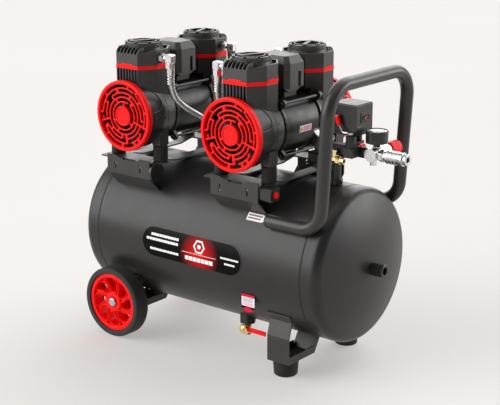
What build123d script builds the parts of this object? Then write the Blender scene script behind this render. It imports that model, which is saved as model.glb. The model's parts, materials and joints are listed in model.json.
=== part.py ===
from build123d import *
import os
from math import atan2, cos, hypot, pi, radians, sin, sqrt

# Oil-free air compressor: two double-headed pump units on a 50 litre horizontal receiver.
# Millimetres. X runs along the tank towards the handle, -Y is the front, Z is up, floor at z = 0.
# Parts are drawn with the tank's middle at x = 0 and moved by CENTRE_SHIFT when they are written.

# Receiver
TANK_R = 155.0
TANK_WALL = 3.0
TANK_Z = 218.0
BARREL_HALF = 263.0
DOME_START = 286.0
KNUCKLE_R = 20.0
CROWN_R = 460.0
SEAM_LIP = 3.0
PORT_R = 13.0
PORT_END = 355.0
SHEET = 3.0
CONTACT = 0.05

# Wheels
WHEEL_X = -212.0
WHEEL_R = 75.2
WHEEL_OUT = 176.0
WHEEL_IN = 140.0
RIM_R = 62.5
RIM_RING = 7.0
WHEEL_HUB_R = 17.0
AXLE_R = 6.0
BOLT_HEAD_R = 9.4
BOLT_DOME = 3.0
RUN_CLEARANCE = 0.05
SPOKES = 8

# Feet and leg brackets
FOOT_X = 197.0
FOOT_Y = 105.0
FOOT_R = 23.3
FOOT_TOP_R = 26.0
FOOT_H = 31.0
LEG_Y = 130.0
LEG_WIDTH = 53.0
WHEEL_LEG_X = -200.0
WHEEL_LEG_Z = 57.0
FLANGE_H = 15.0

# Handle
TUBE_R = 13.0
TUBE_WALL = 2.0
HANDLE_Y = 134.3
HANDLE_LOW_Z = 317.3
HANDLE_TOP_Z = 591.0
HANDLE_TOP_X = 311.7
HANDLE_LOW_X = 295.2
HANDLE_START_X = 174.0
HANDLE_LOW_BEND = 46.0
HANDLE_TOP_BEND = 56.0

# Pump units
UNIT_X = {"left": -181.8, "right": 98.1}
INNER_SIDE = {"left": 1, "right": -1}
MOTOR_Z = 477.7
GRILLE_FRONT = 157.8
GRILLE_BACK = 145.8
GRILLE_R = 72.7
GRILLE_OPEN_R = 65.0
GRILLE_EDGE = 3.0
HUB_R = 20.4
RIB_WIDTH = 3.4
DRUM_R = 70.0
FAN_ROOM_R = 66.0
CRANK_ROOM_R = 58.0
WALL_FRONT = 122.0
WALL_BACK = 118.0
FLANGE_Y = 62.0
FLANGE_R = 64.5
EAR_HALF = 7.5
STATOR_HALF = 54.0
STATOR_R = 61.0
ROTOR_CORE_R = 32.0
AIR_GAP = 0.5
SHAFT_R = 8.0
CYLINDER_Y = 92.0
BORE_R = 32.0
CRANK_THROW = 8.0
CRANK_PIN_R = 7.0
ROD_EYE_R = 23.5
PISTON_TOP = 556.0
TOWER_FRONT = 141.0
TOWER_NEAR = 109.0
TOWER_FAR = 75.0
TOWER_BACK = 44.0
TOWER_HALF = 52.0
TOWER_FLAT = 58.0
BAND_LOW = 572.5
BAND_HIGH = 580.0
HEAD_FRONT_TOP = 603.0
HEAD_TOP = 611.0
TRAY_FLOOR = 600.0
COWL_TOP = 613.0
COWL_R = 43.0
FINS = 7
FIN_PITCH = 9.3
FIN_HALF = 1.1
CAP_TOP = 625.5
CAP_R = 38.5
TIE_OFFSET = 52.0
TIE_R = TIE_OFFSET * sqrt(2)
MOUNT_X = 59.0
MOUNT_Y = 110.0
MOUNT_R = 15.0
MOUNT_TOP = 419.0
SADDLE_TOP = 385.0
SADDLE_Y = 143.0
LIP_TOP = 390.0
EAR_X = 76.0
KEYHOLE_X = (-36.0, 32.0)
KEYHOLE_MIDDLE = 367.0
CLIP_HALF = 15.5
CLIP_RISE = 3.0
COVER_HALF_X = 42.0
COVER_HALF_Y = 31.0

# Discharge line
ELBOW_OFFSET = 78.0
ELBOW_Y = 97.0
ELBOW_Z = 595.0
HOSE_TOP = 562.0
HOSE_R = 7.0
VALVE_X = -42.0
VALVE_Z = 425.0
PORT_REACH = 30.0

# Drain
DRAIN_X = 80.0
DRAIN_Y = 78.0
DRAIN_BORE_R = 4.0
DRAIN_OUTLET_R = 3.5
DRAIN_LOW = 47.0
DRAIN_BOSS_LOW = 72.5
DRAIN_LEVER_Z = 61.5
DRAIN_LEVER_Y = 89.2
DRAIN_LEVER_END = 134.0
DRAIN_LEVER_WIDTH = 9.0
DRAIN_NUT_Y = 91.2

# Controls
RISER_X = 238.0
RISER_R = 8.5
STEM_R = 2.5
LINE_Z = 445.0
LINE_BORE_R = 5.0
ARM_TOP = 431.0
SWITCH_X = (236.0, 294.0)
SWITCH_Y = (-19.0, 36.0)
SWITCH_Z = (477.5, 538.0)
SWITCH_NECK_Y = 8.5
LEVER_Y = 27.0
LEVER_X = 286.0
LEVER_Z = 485.0
REAR_LEVER_X = 253.0
REAR_LEVER_Y = 48.0
REAR_LEVER_Z = 506.0
REGULATOR_X = 322.0
REGULATOR_R = 13.0
KNOB_Y = (50.0, 80.0)
COUPLER_START = 352.0
COUPLER_END = 398.0
COUPLER_BORE_R = 5.5
GAUGE_R = 21.5
GAUGE_Y = 10.0
GAUGE_TOP = 490.0
SIDE_GAUGE = (211.5, -6.0, 469.5)
SIDE_GAUGE_TILT = 24.0
TAP_Y = 21.0
TAP_Z = 427.0
TAP_END = 269.0
TAP_BORE_R = 4.0
RESET_X = 158.5


def span_box(x0, x1, y0, y1, z0, z1):
    """A block given by its limits."""
    return Pos((x0 + x1) / 2, (y0 + y1) / 2, (z0 + z1) / 2) * Box(x1 - x0, y1 - y0, z1 - z0)


def rod_x(radius, x0, x1, y, z):
    return Pos((x0 + x1) / 2, y, z) * Rot(0, 90, 0) * Cylinder(radius, x1 - x0)


def rod_y(radius, y0, y1, x, z):
    return Pos(x, (y0 + y1) / 2, z) * Rot(90, 0, 0) * Cylinder(radius, y1 - y0)


def rod_z(radius, z0, z1, x, y):
    return Pos(x, y, (z0 + z1) / 2) * Cylinder(radius, z1 - z0)


def cone_y(radius0, radius1, y0, y1, x, z):
    """A cone along Y, radius0 at y0 and radius1 at y1."""
    return Pos(x, (y0 + y1) / 2, z) * Rot(-90, 0, 0) * Cone(radius0, radius1, y1 - y0)


def hex_bar(across_flats, length):
    """A hexagonal bar along Z, centred on the origin."""
    return extrude(RegularPolygon(across_flats / sqrt(3), 6), amount=length / 2, both=True)


def hex_x(across_flats, x0, x1, y, z):
    return Pos((x0 + x1) / 2, y, z) * Rot(0, 90, 0) * hex_bar(across_flats, x1 - x0)


def hex_y(across_flats, y0, y1, x, z):
    return Pos(x, (y0 + y1) / 2, z) * Rot(90, 0, 0) * hex_bar(across_flats, y1 - y0)


def hex_z(across_flats, z0, z1, x, y):
    return Pos(x, y, (z0 + z1) / 2) * hex_bar(across_flats, z1 - z0)


def prism_z(points, z0, z1):
    """A plan outline of (x, y) points raised from z0 to z1."""
    return Pos(0, 0, z0) * extrude(make_face(Polyline(*points, close=True)), amount=z1 - z0)


def prism_x(points, x0, x1):
    """A side outline of (y, z) points stretched from x0 to x1."""
    face = Plane.YZ * make_face(Polyline(*points, close=True))
    return Pos(x0, 0, 0) * extrude(face, amount=x1 - x0, dir=(1, 0, 0))


def prism_y(points, y0, y1):
    """A front outline of (x, z) points carried from y0 to y1."""
    face = Plane.XZ * make_face(Polyline(*points, close=True))
    return Pos(0, y1, 0) * extrude(face, amount=y1 - y0, dir=(0, -1, 0))


def folded_outline(path, thickness):
    """The closed outline of a sheet folded along a centre line, with mitred bends."""
    left, right = [], []
    for index, (a, b) in enumerate(path):
        before = path[max(index - 1, 0)]
        after = path[min(index + 1, len(path) - 1)]
        into = (a - before[0], b - before[1]) if index else (after[0] - a, after[1] - b)
        out = (after[0] - a, after[1] - b) if index < len(path) - 1 else into
        into = (into[0] / hypot(*into), into[1] / hypot(*into))
        out = (out[0] / hypot(*out), out[1] / hypot(*out))
        normal = (-into[1] - out[1], into[0] + out[0])
        scale = thickness / (1 + into[0] * out[0] + into[1] * out[1]) / 2
        left.append((a + normal[0] * scale, b + normal[1] * scale))
        right.append((a - normal[0] * scale, b - normal[1] * scale))
    return left + right[::-1]


def rear(part):
    """The same part on the back of the machine."""
    return mirror(part, Plane.XZ)


def group(*parts):
    """Separate solids kept together in one node."""
    return Compound(children=[solid for part in parts for solid in part.solids()])


def pair(part):
    return group(part, rear(part))


def tank_cutter():
    """The outer cylinder of the receiver, taken away from whatever is welded to it."""
    return rod_x(TANK_R, -DOME_START, DOME_START, 0, TANK_Z)


# ---- receiver ----

def make_tank_barrel():
    half = BARREL_HALF - CONTACT
    shell = rod_x(TANK_R, -half, half, 0, TANK_Z)
    shell -= rod_x(TANK_R - TANK_WALL, -half, half, 0, TANK_Z)
    top = TANK_Z + TANK_R
    shell -= rod_z(LINE_BORE_R, TANK_Z, top, RISER_X, 0)
    shell -= rod_z(LINE_BORE_R, TANK_Z, top, VALVE_X, 0)
    shell -= rod_z(DRAIN_BORE_R, TANK_Z - TANK_R, TANK_Z, DRAIN_X, -DRAIN_Y)
    return shell


def dish_face(inset, seam_inset):
    """Half section of the dished end: straight flange, knuckle arc and crown arc."""
    reach = sqrt((CROWN_R - KNUCKLE_R) ** 2 - (TANK_R - KNUCKLE_R) ** 2)
    crown_centre = DOME_START - reach
    crown = CROWN_R - inset
    knuckle = KNUCKLE_R - inset
    crown_angle = atan2(TANK_R - KNUCKLE_R, reach)
    knuckle_middle = (pi / 2 + crown_angle) / 2

    def on_crown(angle):
        return (crown_centre + crown * cos(angle), crown * sin(angle))

    radius = TANK_R - inset
    shoulder = (DOME_START, radius)
    middle = (
        DOME_START + knuckle * cos(knuckle_middle),
        TANK_R - KNUCKLE_R + knuckle * sin(knuckle_middle),
    )
    lip = BARREL_HALF + SEAM_LIP
    edges = [
        Line((BARREL_HALF, 0), (BARREL_HALF, radius - seam_inset)),
        Line((BARREL_HALF, radius - seam_inset), (lip, radius)),
        Line((lip, radius), shoulder),
        ThreePointArc(shoulder, middle, on_crown(crown_angle)),
        ThreePointArc(on_crown(crown_angle), on_crown(crown_angle / 2), on_crown(0)),
        Line(on_crown(0), (BARREL_HALF, 0)),
    ]
    return make_face(Curve() + edges)


def make_tank_end(port):
    outer = revolve(dish_face(0.0, 1.6), Axis.X)
    inner = revolve(dish_face(TANK_WALL, 0.0), Axis.X)
    end = Pos(0, 0, TANK_Z) * (outer - inner)
    if port:
        end -= rod_x(PORT_R, DOME_START, PORT_END, 0, TANK_Z)
    return end


def make_end_plug():
    """Welded socket in the crown with its hexagon-socket plug."""
    dish = Pos(0, 0, TANK_Z) * revolve(dish_face(TANK_WALL, 0.0), Axis.X)
    socket = rod_x(PORT_R, DOME_START, PORT_END, 0, TANK_Z) - dish
    socket -= hex_x(14.0, PORT_END - 12.0, PORT_END, 0, TANK_Z)
    rim = socket.edges().filter_by(GeomType.CIRCLE).sort_by(Axis.X)[-1]
    return chamfer(rim, 1.5)


def make_handle():
    points = [
        (HANDLE_START_X, -HANDLE_Y, HANDLE_LOW_Z),
        (HANDLE_LOW_X, -HANDLE_Y, HANDLE_LOW_Z),
        (HANDLE_TOP_X, -HANDLE_Y, HANDLE_TOP_Z),
        (HANDLE_TOP_X, HANDLE_Y, HANDLE_TOP_Z),
        (HANDLE_LOW_X, HANDLE_Y, HANDLE_LOW_Z),
        (HANDLE_START_X, HANDLE_Y, HANDLE_LOW_Z),
    ]
    bends = [HANDLE_LOW_BEND, HANDLE_TOP_BEND, HANDLE_TOP_BEND, HANDLE_LOW_BEND]
    path = FilletPolyline(*points, radius=bends)
    section = Plane(points[0], z_dir=(1, 0, 0)) * (Circle(TUBE_R) - Circle(TUBE_R - TUBE_WALL))
    return sweep(section, path=path) - tank_cutter()


# ---- wheels ----

def make_wheel_rim():
    """Pressed wheel centre: outer ring, hub and eight spokes with petal openings between."""
    y_out, y_in = -WHEEL_OUT + 3.0, -WHEEL_IN - 1.0
    rim = rod_y(RIM_R, y_out, y_in, WHEEL_X, WHEEL_R)
    rim -= rod_y(RIM_R - RIM_RING, y_out, y_in, WHEEL_X, WHEEL_R)
    dish_front, dish_back = -WHEEL_OUT + 10.0, -WHEEL_OUT + 17.0
    web = rod_y(RIM_R - RIM_RING, dish_front, dish_back, WHEEL_X, WHEEL_R)
    hub = rod_y(WHEEL_HUB_R, -WHEEL_OUT + 6.0, -LEG_Y - SHEET, WHEEL_X, WHEEL_R)
    opening = petal_opening(dish_front - 1, dish_back + 1)
    for index in range(SPOKES):
        turn = Pos(WHEEL_X, 0, WHEEL_R) * Rot(0, 360.0 * index / SPOKES, 0)
        web -= turn * opening
    wheel = rim + web + hub
    wheel -= rod_y(AXLE_R + RUN_CLEARANCE, -WHEEL_OUT, -LEG_Y, WHEEL_X, WHEEL_R)
    return wheel


def petal_opening(y0, y1):
    """One petal opening: wide and round at the ring, narrow at the hub."""
    inner = Pos(WHEEL_HUB_R + 7.5, 0) * Circle(4.0)
    outer = Pos(RIM_R - RIM_RING - 13.0, 0) * Circle(13.5)
    petal = make_hull((inner + outer).edges())
    ring = Circle(RIM_R - RIM_RING + 0.5) - Circle(WHEEL_HUB_R + 2.0)
    face = Plane.XZ * (petal & ring)
    return Pos(0, y1, 0) * extrude(face, amount=y1 - y0, dir=(0, -1, 0))


def make_tyre():
    half = (WHEEL_OUT - WHEEL_IN) / 2
    outline = [
        (RIM_R, -half + 2.0),
        (RIM_R + 6.0, -half),
        (WHEEL_R - 4.0, -half + 1.0),
        (WHEEL_R, -half + 7.0),
        (WHEEL_R, half - 7.0),
        (WHEEL_R - 4.0, half - 1.0),
        (RIM_R + 6.0, half),
        (RIM_R, half - 2.0),
    ]
    face = make_face(Polyline(*outline, close=True))
    ring = revolve(face, Axis.Y)
    return Pos(WHEEL_X, -(WHEEL_OUT + WHEEL_IN) / 2, WHEEL_R) * ring


def make_axle_bolt():
    """Wheel bolt with its domed head outside the hub and a nut behind the bracket."""
    shank = rod_y(AXLE_R, -WHEEL_OUT + 5.5, -LEG_Y + 14.0, WHEEL_X, WHEEL_R)
    head = rod_y(BOLT_HEAD_R, -WHEEL_OUT + 1.5, -WHEEL_OUT + 5.5, WHEEL_X, WHEEL_R)
    head = fillet(head.edges().group_by(Axis.Y)[0], BOLT_DOME)
    nut = hex_y(17.0, -LEG_Y + SHEET / 2 + 0.1, -LEG_Y + 9.0, WHEEL_X, WHEEL_R)
    return shank + head + nut


# ---- legs ----

def make_leg_bracket(x_centre, low_z, axle):
    """Folded sheet: pad on the tank, outer leg, flanged floor and sloping inner strut."""
    strut_top = (-22.0, 72.0) if low_z < WHEEL_LEG_Z else (-34.0, 74.0)
    path = [
        (-127.0, 131.0),
        (-LEG_Y + 9.0, 116.0),
        (-LEG_Y, 84.0),
        (-LEG_Y, low_z + SHEET / 2),
        (-46.0, low_z + SHEET / 2),
        strut_top,
    ]
    x0, x1 = x_centre - LEG_WIDTH / 2, x_centre + LEG_WIDTH / 2
    strip = prism_x(folded_outline(path, SHEET), x0, x1)
    for edge in (x0, x1 - SHEET):
        strip += span_box(edge, edge + SHEET, -LEG_Y, -46.0, low_z + SHEET / 2, low_z + FLANGE_H)
    if axle:
        strip -= rod_y(AXLE_R + 0.3, -LEG_Y - 5, -LEG_Y + 5, WHEEL_X, WHEEL_R)
    return strip - tank_cutter()


def make_foot():
    cone = Pos(FOOT_X, -FOOT_Y, FOOT_H / 2) * Cone(FOOT_R, FOOT_TOP_R, FOOT_H)
    return chamfer(cone.edges().sort_by(Axis.Z)[0], 2.0)


# ---- pump units, drawn about the unit's own centre line ----

def tower_outline(grow=0.0):
    """Eight-sided plan of a cylinder tower, front first."""
    front, back = -TOWER_FRONT - grow, -TOWER_BACK + grow
    side = TOWER_HALF + grow
    flat = TOWER_FLAT / 2 + grow / 2
    near, far = -TOWER_NEAR - grow / 2, -TOWER_FAR + grow / 2
    return [
        (-flat, front),
        (flat, front),
        (side, near),
        (side, far),
        (flat, back),
        (-flat, back),
        (-side, far),
        (-side, near),
    ]


def make_crankcase():
    """Fan housing, crank chamber and cylinder tower of one head, open at the front."""
    body = rod_y(DRUM_R, -GRILLE_BACK, -112.0, 0, MOTOR_Z)
    body += cone_y(DRUM_R, STATOR_R + 1.0, -112.0, -FLANGE_Y, 0, MOTOR_Z)
    body += prism_z(tower_outline(), MOTOR_Z, BAND_LOW)
    body += rod_y(FLANGE_R, -FLANGE_Y, -STATOR_HALF, 0, MOTOR_Z)
    for angle in (45, 135, 225, 315):
        ear = span_box(FLANGE_R - 10.0, TIE_R, -FLANGE_Y, -STATOR_HALF, -EAR_HALF, EAR_HALF)
        ear += rod_y(EAR_HALF, -FLANGE_Y, -STATOR_HALF, TIE_R, 0)
        body += Pos(0, 0, MOTOR_Z) * Rot(0, angle, 0) * ear
    for side in (-1, 1):
        lug_x = side * MOUNT_X
        body += span_box(lug_x - 11, lug_x + 11, -MOUNT_Y - 13, -MOUNT_Y + 13, MOUNT_TOP, MOTOR_Z - 30)
    body -= prism_z(tower_outline(), MOTOR_Z, BAND_LOW) & span_box(
        -60, 60, -STATOR_HALF, 0, MOTOR_Z, MOTOR_Z + STATOR_R + 3.0
    )
    body -= rod_y(FAN_ROOM_R, -GRILLE_BACK, -WALL_FRONT, 0, MOTOR_Z)
    body -= rod_y(CRANK_ROOM_R, -WALL_BACK, -FLANGE_Y, 0, MOTOR_Z)
    body -= rod_y(ROTOR_CORE_R + 8.0, -FLANGE_Y, -STATOR_HALF, 0, MOTOR_Z)
    body -= rod_y(SHAFT_R + RUN_CLEARANCE, -WALL_FRONT, -WALL_BACK, 0, MOTOR_Z)
    body -= rod_z(BORE_R, MOTOR_Z, BAND_LOW, 0, -CYLINDER_Y)
    for sx in (-1, 1):
        for sz in (-1, 1):
            tie_x, tie_z = sx * TIE_OFFSET, MOTOR_Z + sz * TIE_OFFSET
            body -= rod_y(3.3, -FLANGE_Y, -STATOR_HALF, tie_x, tie_z)
    for index in range(7):
        groove_x = -24.0 + 8.0 * index
        body -= span_box(groove_x - 2.0, groove_x + 2.0, -142.0, -136.5, 545.0, BAND_LOW)
    return body


def scaled_outline(share):
    """The tower's plan drawn in towards its middle."""
    middle = -(TOWER_FRONT + TOWER_BACK) / 2
    return [(x * share, middle + (y - middle) * share) for x, y in tower_outline()]


# Side view (y, z) of one front fin of a head cover.
FIN_PROFILE = [
    (-141.0, 600.0), (-141.0, 603.5), (-139.5, 608.0), (-136.5, 611.5), (-132.0, 614.2),
    (-126.0, 615.5), (-120.0, 615.5), (-120.0, 600.0),
]


def clip_blocks(grow):
    """Raised clips on the sealing frame: one in front and one on each side."""
    top = BAND_HIGH + CLIP_RISE + grow
    half = CLIP_HALF + grow
    front = span_box(-half, half, -141.8, -135.0, BAND_HIGH - 1.0, top)
    sides = [
        span_box(*sorted((side * 52.8, side * 48.0)), -106.0 - grow, -78.0 + grow, BAND_HIGH - 1.0, top)
        for side in (-1, 1)
    ]
    return front + sides[0] + sides[1]


def make_seal_band():
    """Red sealing frame between a tower and its head cover, with three raised clips."""
    band = prism_z(tower_outline(0.8), BAND_LOW + CONTACT, BAND_HIGH - CONTACT)
    band += clip_blocks(0.0)
    band -= rod_z(18.0, BAND_LOW, BAND_HIGH, 0, -CYLINDER_Y)
    return band


def make_head_cover():
    """Head cover: eight-sided tray, front fins and the round cowl that seats the silencer."""
    cover = prism_z(tower_outline(), BAND_HIGH, HEAD_TOP)
    cover -= prism_x(
        [
            (-TOWER_FRONT - 1.0, HEAD_FRONT_TOP),
            (-TOWER_NEAR, HEAD_TOP),
            (-TOWER_NEAR, HEAD_TOP + 2.0),
            (-TOWER_FRONT - 1.0, HEAD_TOP + 2.0),
        ],
        -TOWER_HALF - 1.0,
        TOWER_HALF + 1.0,
    )
    cover -= prism_z(scaled_outline(0.93), TRAY_FLOOR, HEAD_TOP)
    cover -= prism_z(scaled_outline(0.9), BAND_HIGH, TRAY_FLOOR - 2.0)
    y = -CYLINDER_Y + 2.0
    cover += Pos(0, y, (TRAY_FLOOR + COWL_TOP) / 2) * Cone(COWL_R, CAP_R, COWL_TOP - TRAY_FLOOR)
    for index in range(FINS):
        fin_x = FIN_PITCH * (index - (FINS - 1) / 2)
        cover += prism_x(FIN_PROFILE, fin_x - FIN_HALF, fin_x + FIN_HALF)
    cover -= rod_z(CAP_R + 0.4, COWL_TOP, CAP_TOP, 0, y)
    cover -= clip_blocks(CONTACT)
    return cover - rod_z(12.0, TRAY_FLOOR - 2.0, COWL_TOP, 0, y)


def make_silencer():
    """Round intake silencer cap: castellated ring, inner ring and a raised centre bar."""
    y = -CYLINDER_Y + 2.0
    floor = CAP_TOP - 6.0
    rim_top, inner_top = CAP_TOP - 2.0, CAP_TOP - 0.8
    cap = rod_z(CAP_R, COWL_TOP + CONTACT, floor, 0, y)
    ring = rod_z(CAP_R - 1.0, floor, rim_top, 0, y) - rod_z(CAP_R - 6.0, floor, CAP_TOP, 0, y)
    for index in range(4):
        turn = Pos(0, y, CAP_TOP - 3.0) * Rot(0, 0, 45.0 * index + 18.0)
        ring -= turn * Box(2 * CAP_R, 5.5, 4.2)
    ring += rod_z(CAP_R - 11.0, floor, inner_top, 0, y) - rod_z(CAP_R - 14.0, floor, CAP_TOP, 0, y)
    bar = Pos(0, y, (floor + CAP_TOP) / 2) * Rot(0, 0, 68.0) * Box(58.0, 8.0, CAP_TOP - floor)
    return cap + ring + bar


# Broken rings of the fan grille: radius, then start and end angles in degrees.
GRILLE_ARCS = [
    (29.0, 64, 408),
    (38.5, 0, 360),
    (47.5, -6, 131),
    (47.5, 150, 194),
    (47.5, 213, 264),
    (47.5, 278, 343),
    (57.0, -22, 52),
    (57.0, 60, 178),
    (57.0, 186, 195),
    (57.0, 207, 281),
    (57.0, 291, 324),
]
# Bridges between the rings: angle, inner radius, outer radius, width.
GRILLE_BRIDGES = [
    (88, 19, 29, 4), (-38, 19, 29, 4), (205, 19, 29, 4),
    (120, 29, 38.5, 4), (48, 29, 38.5, 7), (243, 29, 38.5, 4),
    (131, 38.5, 47.5, 4), (65, 38.5, 47.5, 4), (194, 38.5, 47.5, 4),
    (223, 38.5, 47.5, 4), (264, 38.5, 47.5, 5), (279, 38.5, 57, 6),
    (342, 29, 66, 3.5), (108, 47.5, 57, 7), (36, 47.5, 57, 4),
    (153, 47.5, 57, 4), (-6, 47.5, 53, 5), (209, 47.5, 57, 8),
    (140, 57, 66, 4), (78, 57, 66, 4), (54, 57, 66, 5), (12, 57, 66, 4),
    (178, 57, 66, 4), (195, 47.5, 66, 3.5), (222, 57, 66, 4),
    (266, 57, 66, 6), (298, 57, 66, 6), (312, 57, 66, 6), (324, 52, 57, 5),
]


def ring_arc(radius, start, end):
    """Plan of one arc of the grille, RIB_WIDTH wide."""
    ring = Circle(radius + RIB_WIDTH / 2) - Circle(radius - RIB_WIDTH / 2)
    if end - start >= 360:
        return ring
    reach = 2 * GRILLE_R
    steps = max(2, int((end - start) / 60) + 2)
    fan = [(0.0, 0.0)]
    for index in range(steps):
        angle = radians(start + (end - start) * index / (steps - 1))
        fan.append((reach * cos(angle), reach * sin(angle)))
    return ring & make_face(Polyline(*fan, close=True))


def make_grille():
    """Round fan grille: deep rim, maze of broken rings and a raised hub disc."""
    maze = Sketch()
    for radius, start, end in GRILLE_ARCS:
        maze += ring_arc(radius, start, end)
    for angle, inner, outer, width in GRILLE_BRIDGES:
        maze += Rot(0, 0, angle) * Pos((inner + outer) / 2, 0) * Rectangle(outer - inner, width)
    maze += Circle(HUB_R)
    web_front, web_back = -GRILLE_FRONT + 3.0, -GRILLE_FRONT + 7.0
    web = Pos(0, web_back, MOTOR_Z) * extrude(
        Plane.XZ * maze, amount=web_back - web_front, dir=(0, -1, 0)
    )
    rim = rod_y(GRILLE_R, -GRILLE_FRONT, -GRILLE_BACK - CONTACT, 0, MOTOR_Z)
    rim = fillet(rim.edges().group_by(Axis.Y)[0], GRILLE_EDGE)
    rim -= rod_y(GRILLE_OPEN_R, -GRILLE_FRONT, -GRILLE_BACK, 0, MOTOR_Z)
    hub = rod_y(HUB_R, -GRILLE_FRONT, web_front, 0, MOTOR_Z)
    hub -= rod_y(HUB_R - 3.5, -GRILLE_FRONT, -GRILLE_FRONT + 1.2, 0, MOTOR_Z)
    return rim + web + hub


def make_stator():
    half = STATOR_HALF - CONTACT
    ring = rod_y(STATOR_R, -half, half, 0, MOTOR_Z)
    return ring - rod_y(ROTOR_CORE_R + AIR_GAP, -half, half, 0, MOTOR_Z)


def make_terminal_cover():
    """Capacitor and terminal box standing on the motor between the towers."""
    x, y, corner = COVER_HALF_X, COVER_HALF_Y, 9.0
    plan = [
        (-x + corner, -y), (x - corner, -y), (x, -y + corner), (x, y - corner),
        (x - corner, y), (-x + corner, y), (-x, y - corner), (-x, -y + corner),
    ]
    box = prism_z(plan, 552.0, 600.0)
    roof = [(px * 0.8, py * 0.78) for px, py in plan]
    box += loft([
        Pos(0, 0, 600.0) * make_face(Polyline(*plan, close=True)),
        Pos(0, 0, 614.5) * make_face(Polyline(*roof, close=True)),
    ])
    box += prism_x([(-14.0, 543.0), (14.0, 543.0), (y, 552.0), (-y, 552.0)], -x + corner, x - corner)
    box += span_box(-26.0, 26.0, -20.0, 20.0, MOTOR_Z, 544.0)
    for side in (-1, 1):
        slot_x = side * x
        box -= span_box(slot_x - 4.0, slot_x + 4.0, 4.0, 12.0, 552.0, 583.0)
    return box - rod_y(STATOR_R + CONTACT, -STATOR_HALF, STATOR_HALF, 0, MOTOR_Z)


def make_rotor():
    """Motor shaft with its laminated core and an eccentric crank at each end."""
    rotor = rod_y(SHAFT_R, -138.0, 138.0, 0, MOTOR_Z)
    rotor += rod_y(ROTOR_CORE_R, -46.0, 46.0, 0, MOTOR_Z)
    for side in (-1, 1):
        cheek = sorted((side * 100.0, side * 108.0))
        pin = sorted((side * 84.0, side * 100.0))
        rotor += rod_y(24.0, *cheek, 0, MOTOR_Z)
        rotor += rod_y(CRANK_PIN_R, *pin, CRANK_THROW, MOTOR_Z)
    return rotor


def make_fan():
    """Cooling fan pressed on the shaft end."""
    y0, y1 = -137.0, -126.0
    fan = rod_y(16.0, y0, y1, 0, MOTOR_Z)
    for index in range(9):
        blade = Rot(0, 40.0 * index, 0) * Pos(37.0, 0, 0) * Rot(35, 0, 0) * Box(46.0, 2.4, 11.0)
        fan += Pos(0, (y0 + y1) / 2, MOTOR_Z) * blade
    return fan - rod_y(SHAFT_R, y0, y1, 0, MOTOR_Z)


def make_piston():
    """Wobble piston: crown, rod and big-end eye in one casting."""
    y = -CYLINDER_Y
    piston = rod_z(BORE_R - RUN_CLEARANCE, PISTON_TOP - 9.0, PISTON_TOP, 0, y)
    piston += span_box(-7.0, 7.0, y - 4.0, y + 4.0, MOTOR_Z + ROD_EYE_R + 1.0, PISTON_TOP - 8.0)
    eye = rod_y(ROD_EYE_R + 5.0, y - 4.0, y + 4.0, 0, MOTOR_Z)
    piston += eye
    return piston - rod_y(ROD_EYE_R, y - 4.0, y + 4.0, 0, MOTOR_Z)


def make_saddle(left_keyhole):
    """Folded base under one unit: two lipped end plates down to the tank and a windowed floor.

    left_keyhole is 1 where the left keyhole has its round end up, and -1 where it is down.
    """
    half = [
        (-113.0, 322.0),
        (-SADDLE_Y, 351.5),
        (-SADDLE_Y, SADDLE_TOP - SHEET / 2),
        (-92.0, SADDLE_TOP - SHEET / 2),
        (-60.0, 377.0),
    ]
    path = half + [(-y, z) for y, z in half[::-1]]
    saddle = prism_x(folded_outline(path, SHEET), -MOUNT_X, MOUNT_X)
    saddle += group(*[
        rod_z(MOUNT_R + 2.0, SADDLE_TOP - SHEET, SADDLE_TOP, sx * MOUNT_X, sy * MOUNT_Y)
        for sx in (-1, 1) for sy in (-1, 1)
    ])
    saddle -= span_box(-34.0, 34.0, -96.0, 96.0, 370.0, 390.0)
    low = SADDLE_TOP - SHEET
    left_lip = [(-MOUNT_X, low), (-15.0, low), (-38.0, LIP_TOP), (-MOUNT_X, LIP_TOP)]
    right_lip = [(19.0, low), (MOUNT_X, low), (MOUNT_X, LIP_TOP), (34.0, LIP_TOP)]
    for sy in (-1, 1):
        skin = sorted((sy * (SADDLE_Y + SHEET / 2), sy * (SADDLE_Y - SHEET / 2)))
        plate = sorted((sy * (SADDLE_Y + 4), sy * (SADDLE_Y - 4)))
        saddle -= span_box(-15.0, 19.0, *plate, low, SADDLE_TOP + 1)
        saddle += prism_y(left_lip, *skin) + prism_y(right_lip, *skin)
        ear = sorted((sy * (SADDLE_Y + SHEET / 2), sy * MOUNT_Y))
        saddle += span_box(-EAR_X, 2.0 - MOUNT_X, *ear, low, SADDLE_TOP)
        for hole_x, up in zip(KEYHOLE_X, (left_keyhole, 1)):
            saddle -= rod_y(3.6, *plate, hole_x, KEYHOLE_MIDDLE + 5.5 * up)
            saddle -= span_box(
                hole_x - 1.6, hole_x + 1.6, *plate, KEYHOLE_MIDDLE - 6.5, KEYHOLE_MIDDLE + 6.5
            )
    return saddle - tank_cutter()


def make_rubber_mount():
    height = MOUNT_TOP - SADDLE_TOP - 2 * CONTACT
    mount = Pos(0, 0, (SADDLE_TOP + MOUNT_TOP) / 2) * Cylinder(MOUNT_R, height)
    return chamfer(mount.edges().filter_by(GeomType.CIRCLE), 1.5)


def make_tie_bolt(x, z):
    y = FLANGE_Y + 0.1
    bolt = rod_y(3.0, -y - 1, y + 1, x, z)
    return bolt + hex_y(8.0, -y - 5, -y, x, z) + hex_y(8.0, y, y + 5, x, z)


# ---- discharge line ----

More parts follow.
